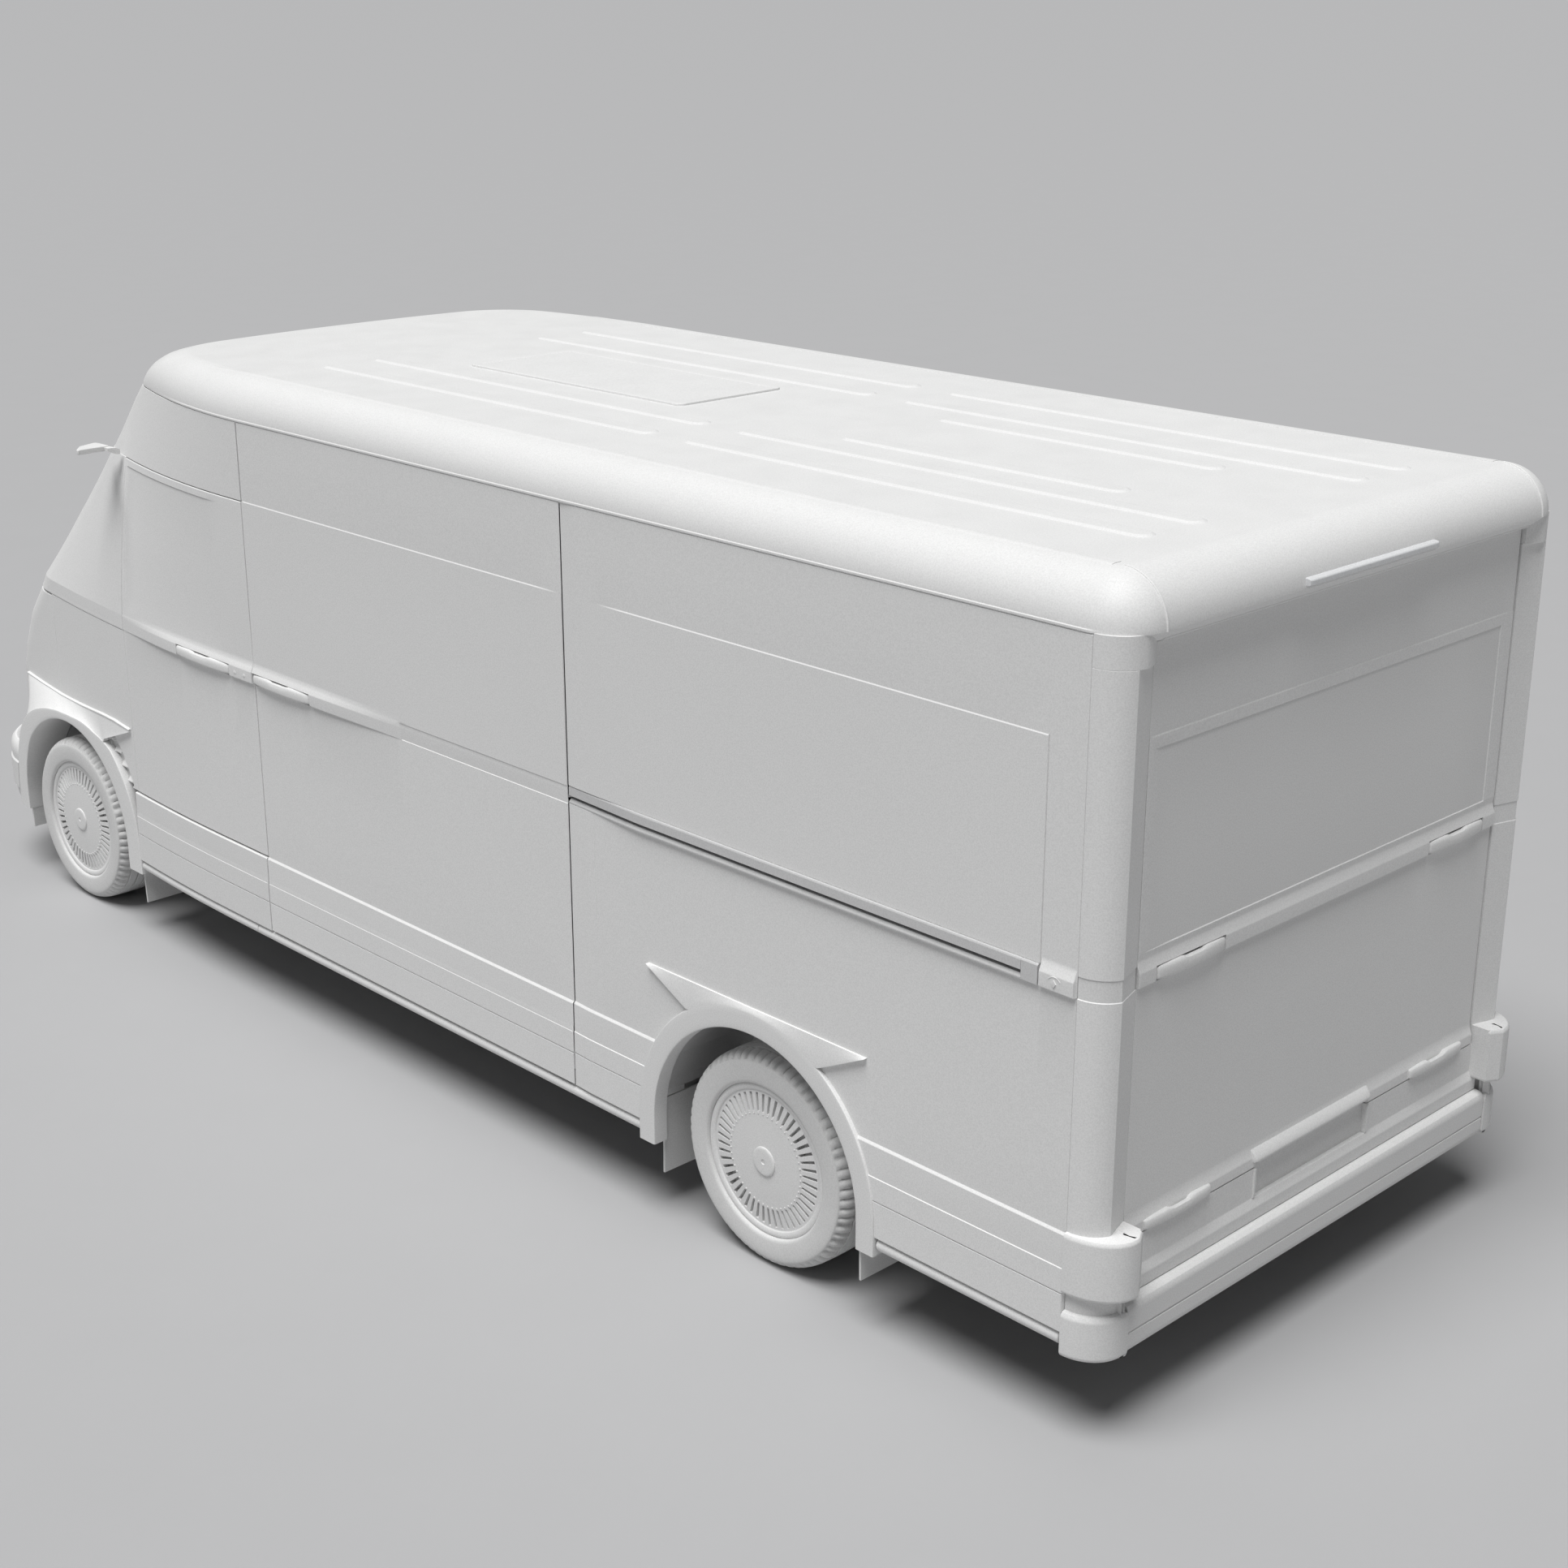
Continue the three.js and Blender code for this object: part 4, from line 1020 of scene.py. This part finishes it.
def stadium(x, y0, y1, width, steps=8):
    r = width / 2
    ends = [(x + r * math.cos(a), y1 - r + r * math.sin(a)) for a in np.linspace(0, math.pi, steps)]
    return ends + [(x + r * math.cos(a), y0 + r + r * math.sin(a))
                   for a in np.linspace(math.pi, 2 * math.pi, steps)]


def rib(x, y0, y1, width=0.052, height=0.005):
    """A pressed rib: a long, low form with sloping sides."""
    rings = []
    edge = [(0.014, -0.001), (0.013, 0.0002), (0.009, 0.0014), (0.003, height * 0.88), (0.0, height)]
    for grow, z in edge + [(-0.004, height)]:
        rings.append([(a, b, ROOF_Z + z) for a, b in stadium(x, y0 - grow, y1 + grow, width + 2 * grow)])
    return loft("rib", rings)


RIBS = [(s * x, y0, y1) for x, y0, y1 in ((0.38, -0.79, 0.98), (0.6, -0.79, 0.98), (0.38, 1.16, 2.907),
                                         (0.6, 1.16, 2.907), (0.22, 1.46, 2.53)) for s in (1, -1)]
finish(joined("roof_ribs", [rib(*place) for place in RIBS]), BODY, "body_paint", angle=60)


def rounded(x0, x1, y0, y1, radius, steps=6):
    corners = [(x1 - radius, y1 - radius, 0), (x0 + radius, y1 - radius, 90), (x0 + radius, y0 + radius, 180),
               (x1 - radius, y0 + radius, 270)]
    return [(cx + radius * math.cos(math.radians(start + 90 * i / steps)),
             cy + radius * math.sin(math.radians(start + 90 * i / steps)))
            for cx, cy, start in corners for i in range(steps + 1)]


def hatch():
    """A low lid with a rounded rim and a sunken middle."""
    rings = []
    edge = [(0, 0.0002), (0, 0.005), (-0.0015, 0.0073), (-0.004, 0.008), (-0.022, 0.008), (-0.026, 0.006),
            (-0.03, 0.006)]
    for grow, z in edge:
        outline = rounded(-0.237 - grow, 0.237 + grow, -0.447 - grow, 0.7 + grow, 0.03)
        rings.append([(x, y, ROOF_Z + z) for x, y in outline])
    return loft("roof_hatch_skin", rings)


finish(hatch(), BODY, "trim", ["roof_hatch"], angle=50)


BEAD_R = 0.0034


def roof_seam():
    """A shallow drip strip along the roof's edge, and a fine bead from its end over the rear shoulder."""
    x = CORNER_CENTRE[0]
    edge = [(x - 0.021, ROOF_Z - 0.002), (x - 0.021, ROOF_Z + 0.001), (x - 0.018, ROOF_Z + 0.002),
            (x + 0.002, ROOF_Z + 0.002), (x + 0.014, ROOF_Z + 0.0008), (x + 0.024, ROOF_Z - 0.004)]
    ends = ((-1.1, 0.004), (-0.8, 0.0), (3.029, 0.0))
    long_strip = loft("strip", [[(a, y, b - drop) for a, b in edge] for y, drop in ends])
    bead = []
    for a in np.radians(np.linspace(0, 90, 24)):
        ring = []
        for b in circle(8):
            r = SHOULDER + 0.0003 + BEAD_R * math.cos(b)
            ring.append((x + BEAD_R * math.sin(b), CORNER_CENTRE[1] + r * math.sin(a),
                         GUTTER_Z + r * math.cos(a)))
        bead.append(ring)
    return joined("seam", [long_strip, loft("bead", bead)])


pair(roof_seam, "roof_seam", BOTH, "body_paint", angle=50)


def pod():
    """The long light and camera pod under the roof's rear lip, a little shallower at its ends."""
    back = 3.15
    section = [(back, 2.26), (3.2095, 2.2655), (3.2115, 2.2675), (3.2115, 2.28), (3.209, 2.283),
               (back, 2.2925)]
    ends = ((-0.308, 0.93), (-0.298, 1.0), (0.298, 1.0), (0.308, 0.93))
    rings = [[(x, back + (y - back) * grow, z) for y, z in section] for x, grow in ends]
    return loft("rear_camera_pod_skin", rings)


finish(pod(), BODY, "glass", ["rear_camera_pod"], bevel=0.0022)


# ---- Rear corners ----
def corner_outline(reach_x, reach_y, facets, turn=90, steps=14):
    """The outside of a rear corner in plan, from the side panel round an arc and along facets to the leaf."""
    outline = [(HALF_WIDTH + reach_x, 3.0795)]
    outline += [(HALF_WIDTH - 0.1 + (0.1 + reach_x) * math.cos(a), 3.081 + (0.1 + reach_y) * math.sin(a))
                for a in np.radians(np.linspace(0, turn, steps))]
    edge_x, edge_y = facets[-1]
    return outline + facets + [(edge_x, edge_y - 0.068)]


def column(name, outline, levels, thick):
    """A hollow column: an outline in plan, drawn up through levels of height and relief."""
    plan = np.array(outline)
    away = np.gradient(plan, axis=0)
    normal = np.stack([-away[:, 1], away[:, 0]], -1)
    normal /= np.linalg.norm(normal, axis=1, keepdims=True)
    centre = np.array([HALF_WIDTH - 0.1, 3.08])
    if np.sum(normal * (plan - centre)) < 0:
        normal = -normal
    outer = [[(x, y, z) for x, y in plan + normal * out] for z, out in levels]
    inner = [[(x, y, z) for x, y in plan - normal * thick] for z, _ in levels]
    return shell(name, np.array(outer), np.array(inner))


PILLAR_THICK = 0.07


def pillar():
    """The corner's wall up to the header, and the cap above it that carries the header's ends."""
    levels = [(0.624, 0), (1.2935, 0), (1.2955, -0.0022), (1.3555, -0.0022), (1.357, 0), (2.169, 0),
              (2.17, -0.003)]
    low = column("pillar", corner_outline(0, 0, [(0.877, 3.1475)], 69), levels, PILLAR_THICK)
    cap_levels = [(2.1695, -0.004), (2.17, -0.0012), (2.1708, -0.0006), (2.256, -0.0006)]
    facets = [(0.905, 3.172), (0.877, 3.156)]
    cap = column("cap", corner_outline(0, 0, facets, 88), cap_levels, PILLAR_THICK)
    return joined("pillar", [low, cap])


pair(pillar, "rear_pillar", BOTH, "body_paint", "rear_pillar", angle=25)


def guard():
    """The corner guard: a wall round the corner under a flat lid."""
    levels = [(0.445, -0.01), (0.4465, -0.004), (0.451, -0.0008), (0.456, 0), (0.611, 0), (0.618, -0.002),
              (0.623, -0.006), (0.625, -0.012)]
    facets = [(0.915, HALF_LENGTH), (0.877, 3.215)]
    wall = column("guard", corner_outline(0.014, HALF_LENGTH - 3.181, facets), levels, 0.05)
    lid = corner_outline(0.004, HALF_LENGTH - 3.192, [(0.911, 3.2265), (0.8775, 3.206)])
    lid += [(0.8775, 3.1), (0.96, 3.06)]
    return joined("guard", [wall, prism("lid", lid, "z", 0.6, 0.6242)])


def end_cap():
    """The bumper's end, with a step on top for the guard to sit over."""
    levels = [(0.252, -0.012), (0.254, -0.005), (0.26, -0.001), (0.266, 0), (0.37, 0), (0.378, -0.002),
              (0.385, -0.007), (0.388, -0.014), (0.3885, -0.018), (0.442, -0.018)]
    outline = corner_outline(0.012, 0.024, [(0.915, 3.205), (0.906, 3.205)])
    return column("cap", outline, levels, 0.03)


pair(guard, "corner_guard", BOTH, "trim", "corner_guard", angle=30)
pair(end_cap, "bumper_end_cap", BOTH, "trim", "bumper_end_cap", angle=30)


# ---- Rear bumper and sill ----
PLATE_HALF = 0.283


def rear_bumper():
    beam = [(3.085, 0.252), (3.188, 0.252), (3.195, 0.256), (3.199, 0.264), (3.2, 0.275), (3.2, 0.3085),
            (3.196, 0.3105), (3.196, 0.3135), (3.2, 0.3155), (3.2, 0.372), (3.198, 0.384), (3.193, 0.3925),
            (3.184, 0.3975), (3.174, 0.399), (3.085, 0.399)]
    return prism("rear_bumper_beam", beam, "x", -0.904, 0.904)


def rear_sill():
    sill = [(3.06, 0.402), (3.1665, 0.402), (3.1665, 0.436), (3.164, 0.442), (3.155, 0.465), (3.1545, 0.47),
            (3.1545, 0.5605), (3.06, 0.5605)]
    made = prism("rear_sill", sill, "x", -0.9, 0.9)
    return boolean(made, [box("cutter", -PLATE_HALF, PLATE_HALF, 3.1405, 3.3, 0.464, 0.6)])


rear_step = joined("rear_bumper_skin", [rear_bumper(), rear_sill()])
finish(rear_step, BODY, "trim", ["rear_bumper_step"], bevel=0.0014, segments=2)


def plate_frame():
    """Ribs at each side of the number-plate recess."""
    side = [(3.138, 0.4645), (3.158, 0.467), (3.16, 0.48), (3.16, 0.56), (3.138, 0.5605)]
    return joined("plate_frame", [prism("r", side, "x", x, x + 0.009) for x in (-0.2905, 0.2815)])


finish(plate_frame(), BODY, "trim", bevel=0.0015, segments=2)

# ---- Tailgate ----
GATE_BELT = [(0, 0), (1.2945, 0), (1.296, 9.5), (1.2985, 11), (1.335, 11), (1.339, 10), (1.344, 7.5),
             (1.358, 2.2), (1.366, 0.5), (1.371, 0), (3, 0)]
GATE_FOOT = [(0.5, 11), (0.594, 11), (0.5985, 10), (0.604, 7.5), (0.618, 2.4), (0.63, 0.5), (0.637, 0),
             (3, 0)]
GATE_PANE_X = [-0.80725, -0.80475, 0.82, 0.85]
LATCH_X = (0.503, 0.799)


def tailgate():
    xs = stations(-LEAF_HALF + 0.001, LEAF_HALF - 0.001, GATE_PANE_X, 0.1)
    breaks = heights(GATE_BELT, GATE_FOOT, CREASE) + step_at(1.388, 1.936, width=0.0025)
    zs = stations(0.564, 2.216, breaks, 0.12)
    x, z = np.meshgrid(xs, zs)
    points = np.stack([x, LEAF_FACE + 0 * x, z], -1)
    inset = np.interp(z, [1.38675, 1.38925, 1.93475, 1.93725], [0, 1, 1, 0])
    inset *= np.interp(x, GATE_PANE_X, [0, 1, 1, 0])
    relief = profile(GATE_BELT, z) + profile(GATE_FOOT, z) + profile(CREASE, z) * smooth_step(z, 1.372, 1.385)
    relief -= PANE_DEPTH * inset
    made = panel("tailgate_skin", points, PANEL, relief)
    ends = (LATCH_X[0] - 0.003, LATCH_X[1] + 0.003)
    cutters = [box("cutter", s * ends[0], s * ends[1], LEAF_FACE - 0.014, 3.3, *POCKET_Z) for s in (1, -1)]
    return boolean(made, cutters + [box("cutter", -PLATE_HALF, PLATE_HALF, 3.1415, 3.3, 0.55, 0.583)])


finish(tailgate(), "tailgate_body", "body_paint", ["tailgate"])


def hood():
    """The thin rounded hood over the number plate, along the foot strip."""
    section = [(0.0, 0.5835), (0.018, 0.5835), (0.0225, 0.585), (0.0245, 0.589), (0.024, 0.594),
               (0.0215, 0.6), (0.017, 0.607), (0.0095, 0.615), (0.0, 0.622)]
    ends = [(-0.287, 0.3), (-0.285, 0.75), (-0.281, 0.93), (-0.273, 1), (0.285, 1), (0.293, 0.93),
            (0.298, 0.75), (0.3, 0.3)]
    return loft("plate_hood", [[(x, LEAF_FACE + out * grow, z) for out, z in section] for x, grow in ends])


finish(hood(), "tailgate_body", "body_paint", angle=40)


GRIP_SHARES = [0, 0.012, 0.03, 0.07, 0.13, 0.2, 0.28, 0.33, 0.36, 0.4, 0.5, 0.58, 0.62, 0.66, 0.72, 0.8, 0.87,
               0.93, 0.97, 0.988, 1]


def grip(ends, levels, back, proud, axis):
    """A pull handle: a bar, thick in the middle, that tapers to its ends and has a finger scoop on top.
    axis x is a bar across the rear, axis y one along the side."""
    length = ends[1] - ends[0]
    sections = []
    for t in GRIP_SHARES:
        along = ends[0] + length * t
        swell = math.sin(math.pi * t) ** 0.28 if 0 < t < 1 else 0.0
        depth = proud * (0.45 + 0.55 * swell)
        scoop = np.interp(t, [0.32, 0.36, 0.6, 0.64], [0, 1, 1, 0])
        top = levels[1] - 0.006 * (1 - swell) - 0.005 * scoop
        low = levels[0] + 0.004 * (1 - swell)
        mid = (low + top) / 2
        ring = [(back, low), (back + depth * 0.82, low + 0.0005), (back + depth * 0.95, low + 0.003),
                (back + depth, low + 0.008), (back + depth, mid), (back + depth * 0.98, top - 0.01),
                (back + depth * 0.88, top - 0.003), (back + depth * (0.7 - 0.2 * scoop), top - 0.0003),
                (back + depth * 0.35, top - 0.006 * scoop), (back, top - 0.006 * scoop)]
        sections.append([(along, out, z) if axis == "x" else (out, along, z) for out, z in ring])
    return loft("grip", sections)


def side_handle(ys):
    return grip(ys, HANDLE_Z, HANDLE_BACK, 0.033, "y")


pair(lambda: side_handle(DOOR_HANDLE_Y), "front_door_handle",
     ("front_handle_body_left", "front_handle_body_right"),
     "trim", "front_door_handle", angle=45)
slider_handle = side_handle(SLIDER_HANDLE_Y)
slider_handle.name = "sliding_door_handle_skin"
finish(slider_handle, "sliding_handle_body", "trim", ["sliding_door_handle"], angle=45)
pair(lambda: grip(LATCH_X, HANDLE_Z, LEAF_FACE - 0.009, 0.033, "x"), "tailgate_latch",
     ("latch_body_left", "latch_body_right"), "trim", "tailgate_latch", angle=45)
pair(lambda: grip(LATCH_X, (0.5665, 0.6005), LEAF_FACE + 0.004, 0.024, "x"), "lower_grip",
     ("tailgate_body", "tailgate_body"), "trim", angle=45)


BUTTON = [(1.0405, 0.0001), (1.0405, 0.0075), (1.0425, 0.0085), (1.0432, 0.0062), (1.0438, 0.004),
          (1.0442, 0.0001)]


def lock_buttons():
    """Two small round buttons on the plate between the door handles."""
    parts = []
    for y in (-0.87, -0.808):
        rows = [[(x, y + r * math.cos(a), 1.316 + r * math.sin(a)) for a in circle(18)] for x, r in BUTTON]
        parts.append(loft("button", rows))
    return joined("buttons", parts)


pair(lock_buttons, "lock_buttons", ("front_door_body_left", "front_door_body_right"), "trim")

# ---- Wheels ----
TREAD_BLOCKS = 66
TREAD_DEPTH = 0.0085
SLOTS = 48
SLOT_DEPTH = 0.022
SLOT_INNER = 0.1595
SLOT_OUTER = 0.217
SLOT_SHARES = (0, 0.3, 0.325, 0.5, 0.675, 0.7)
STUD = [(0.003, 0.0965), (0.003, 0.0995), (0.002, 0.1005), (0.0002, 0.1008)]
STUD_RING = 0.1525


def tyre():
    half = [(0.2485, 0.088), (0.2492, 0.098), (0.251, 0.1045), (0.2555, 0.108), (0.262, 0.1095),
            (0.275, 0.1108), (0.29, 0.1117), (0.305, 0.1118), (0.316, 0.1108), (0.322, 0.1096),
            (0.3235, 0.1075), (0.325, 0.1068), (0.33, 0.104), (0.336, 0.0995), (0.341, 0.093), (0.345, 0.085),
            (0.3475, 0.075), (0.3488, 0.065), (0.349, 0.063), (0.343, 0.062), (0.343, 0.056), (0.3492, 0.055),
            (0.3497, 0.03), (0.3498, 0.024), (0.343, 0.023), (0.343, 0.017), (0.35, 0.016)]
    ring = half + [(r, -w) for r, w in half[::-1]]
    ring += [(0.2485, -0.06), (0.2485, 0.06)]

    def tread(radius, along, angle):
        phase = (angle * TREAD_BLOCKS / (2 * math.pi) + np.sign(along) * 0.25) % 1
        cut = (phase > 0.72).astype(float)
        shoulder = np.clip((radius - 0.325) / 0.006, 0, 1) * np.clip((np.abs(along) - 0.058) / 0.004, 0, 1)
        deep = TREAD_DEPTH * cut * shoulder
        return radius - deep * 0.75, along - np.sign(along) * deep * 0.6

    return lathe("tyre", ring, TREAD_BLOCKS * 4, tread)


def cover():
    """The flush wheel cover: a trim ring, radial slots, a plain disc and a hub cap. Its outside is +x."""
    rings = [(0.0005, 0.1062), (0.007, 0.1062), (0.0085, 0.1088), (0.03, 0.1088), (0.04, 0.1086),
             (0.0445, 0.1078), (0.0468, 0.106), (0.0475, 0.1028), (0.053, 0.1022), (0.06, 0.102),
             (0.085, 0.1015), (0.11, 0.1005), (0.135, 0.0992), (0.15, 0.0983), (0.159, 0.0978),
             (0.1605, 0.0977), (0.188, 0.0955), (0.2165, 0.0932), (0.218, 0.093), (0.222, 0.0927),
             (0.226, 0.093), (0.228, 0.0955), (0.231, 0.0975), (0.238, 0.099), (0.244, 0.0988),
             (0.2475, 0.097), (0.2495, 0.094), (0.2495, 0.08)]
    per = len(SLOT_SHARES)
    sides = SLOTS * per
    outer = np.zeros((len(rings), sides, 3))
    angles = np.array([2 * math.pi * (k // per + SLOT_SHARES[k % per]) / SLOTS for k in range(sides)])
    for i, (r, x) in enumerate(rings):
        inside = SLOT_INNER < r < SLOT_OUTER
        for k in range(sides):
            deep = SLOT_DEPTH if inside and 2 <= k % per <= 4 else 0.0
            outer[i, k] = (x - deep, r * math.sin(angles[k]), -r * math.cos(angles[k]))
    back = [(0.247, 0.078), (0.247, -0.088), (0.225, -0.088), (0.2, 0.058), (0.0005, 0.058)]
    inner = np.array([[(x, r * math.sin(a), -r * math.cos(a)) for a in angles] for r, x in back])
    rows = np.concatenate([outer, inner])
    faces = grid_faces(len(rows), sides, closed=True)
    last = (len(rows) - 1) * sides
    faces += [list(range(sides)), [last + k for k in range(sides)]]
    made = mesh_object("cover", rows.reshape(-1, 3).tolist(), faces, 1e-7)
    studs = []
    for k in range(SLOTS):
        a = 2 * math.pi * (k + 0.5) / SLOTS
        y, z = STUD_RING * math.sin(a), -STUD_RING * math.cos(a)
        sections = [[(x, y + r * math.cos(b), z + r * math.sin(b)) for b in circle(8)] for r, x in STUD]
        studs.append(loft("stud", sections))
    return joined("cover", [made] + studs)


def put_wheel(place, side, y, body):
    """A tyre and its wheel at one corner, turned over for the right side."""
    for make, node, slot, angle in ((tyre, "tyre_", "rubber", 50), (cover, "wheel_", "trim", 32)):
        obj = make()
        obj.name = node + place + "_skin"
        co = np.zeros(len(obj.data.vertices) * 3)
        obj.data.vertices.foreach_get("co", co)
        co = co.reshape(-1, 3) * [side, 1, 1] + [side * WHEEL_X, y, TYRE_R]
        obj.data.vertices.foreach_set("co", co.ravel())
        if side < 0:
            obj.data.flip_normals()
        finish(obj, body, slot, [node + place], angle=angle)


for hand, side in (("left", 1), ("right", -1)):
    for end, axle in (("front", FRONT_AXLE), ("rear", REAR_AXLE)):
        put_wheel(f"{end}_{hand}", side, axle, f"{end}_wheel_{hand}")


# ---- Camera wings ----
def camera_wing():
    """A thin blade that tapers outwards, on a small bracket."""
    plan = [(0.955, -1.815), (0.958, -1.88), (0.964, -1.898), (0.974, -1.897), (1.02, -1.862), (1.08, -1.815),
            (1.129, -1.744), (1.135, -1.733), (1.13, -1.727), (1.12, -1.729), (1.04, -1.771)]
    sections = []
    middle_x, middle_y = 1.035, -1.81
    edge = [(-0.02, 0.9), (-0.0195, 0.96), (-0.017, 0.99), (-0.004, 1.0), (-0.001, 0.98), (0.0, 0.94)]
    for low, shrink in edge:
        sections.append([(middle_x + (x - middle_x) * shrink, middle_y + (y - middle_y) * shrink,
                          2.0105 + 0.1 * (x - 0.955) + low) for x, y in plan])
    blade = loft("wing", sections)
    bracket = [(0.934, 1.98), (0.952, 1.982), (0.985, 1.996), (0.985, 2.008), (0.952, 2.006), (0.934, 2.0)]
    return joined("wing", [blade, prism("bracket", bracket, "y", -1.815, -1.772)])


pair(camera_wing, "camera_wing", ("wing_left", "wing_right"), "trim", "camera_wing", angle=50)


# ---- Driver's seat ----
SEAM_DEPTH = 0.045
CROWN = 0.18


def cushion(name, centre, half, lean, node, seams):
    """A stuffed pad: crowned faces, sides drawn in at the piping, and sewn channels across its front."""
    count = 28
    u = np.linspace(-1, 1, count)
    verts, faces, index = [], [], {}

    def vertex(a, b, c):
        key = (round(a, 5), round(b, 5), round(c, 5))
        if key not in index:
            p = np.array([a, b, c])
            p = p / (np.sum(np.abs(p) ** 7) ** (1 / 7))
            full = 1 - CROWN + CROWN * (1 - p[0] ** 2) * (1 - p[1] ** 2)
            sewn = sum(SEAM_DEPTH * math.exp(-((p[1] - s) / 0.035) ** 2) for s in seams)
            sewn += SEAM_DEPTH * math.exp(-((abs(p[0]) - 0.72) / 0.03) ** 2)
            height = p[2] * (full - (sewn if p[2] > 0.2 else 0))
            pull = 1 - 0.05 * math.exp(-(p[2] / 0.1) ** 2)
            x, y, z = p[0] * half[0] * pull, p[1] * half[1] * pull, height * half[2]
            y, z = y * math.cos(lean) - z * math.sin(lean), y * math.sin(lean) + z * math.cos(lean)
            index[key] = len(verts)
            verts.append((centre[0] + x, centre[1] + y, centre[2] + z))
        return index[key]

    for axis in range(3):
        for end in (-1, 1):
            for i in range(count - 1):
                for j in range(count - 1):
                    corners = []
                    for a, b in ((u[i], u[j]), (u[i + 1], u[j]), (u[i + 1], u[j + 1]), (u[i], u[j + 1])):
                        spot = [a, b]
                        spot.insert(axis, end)
                        corners.append(vertex(*spot))
                    faces.append(corners)
    pad = mesh_object(name, verts, faces)
    finish(pad, BODY, "fabric", [node], angle=80)
    return pad


BACK_LEAN = math.radians(90 - 3.5)
cushion("seat_cushion_pad", (0.48, -1.105, 0.96), (0.228, 0.223, 0.059), 0.0, "seat_cushion",
        (-0.45, 0.0, 0.45))
cushion("seat_back_pad", (0.48, -0.8145, 1.2825), (0.222, 0.373, 0.0375), BACK_LEAN, "seat_back",
        (-0.5, -0.15, 0.2, 0.55))

# ---- CAD nodes that stay, with finished materials ----
SLOT_OF = {s["node"]: s.get("material_slot") for s in frame["record"]["subparts"]}
for name, obj in NODES.items():
    if not obj.hide_render:
        obj.data.materials.clear()
        obj.data.materials.append(MATERIALS[SLOT_OF[name]])


# ---- Floor, light and camera ----
def flat_material(name, colour, rough):
    material, tree, shader = nodes_of(name)
    clouds = ramp(tree, noise(tree, 3, 3), tuple(c * 0.99 for c in colour), colour)
    tree.links.new(clouds, shader.inputs["Base Color"])
    shader.inputs["Roughness"].default_value = rough
    return material


bpy.ops.mesh.primitive_plane_add(size=900)
floor = bpy.context.object
floor.name = "studio_floor"
floor.data.materials.append(flat_material("floor_paper", (0.42, 0.42, 0.425), 0.9))


def sun(name, towards, strength, spread):
    """Soft, even light that comes from one direction."""
    data = bpy.data.lights.new(name, "SUN")
    data.energy = strength
    data.angle = math.radians(spread)
    light = add_object(name, data)
    light.rotation_euler = Vector(towards).to_track_quat("Z", "Y").to_euler()


sun("overhead_key", (0.32, 0.08, 1.0), 3.45, 36)
world = bpy.data.worlds.new("studio")
bpy.context.scene.world = world
world.use_nodes = True
world.node_tree.nodes["Background"].inputs["Color"].default_value = (0.98, 0.99, 1, 1)
world.node_tree.nodes["Background"].inputs["Strength"].default_value = 0.13
bpy.context.scene.view_settings.view_transform = "Standard"

CAMERA_AT = (5.368, 6.491, 3.787)
AZIMUTH = 2.372234625
ELEVATION = 0.336703067
LENS = 54.17
camera_data = bpy.data.cameras.new("camera")
camera_data.lens = LENS
camera_data.sensor_width = 36
camera = add_object("camera", camera_data)
camera.location = CAMERA_AT
camera.rotation_euler = (math.pi / 2 - ELEVATION, 0, AZIMUTH)
bpy.context.scene.camera = camera

bpy.context.view_layer.update()
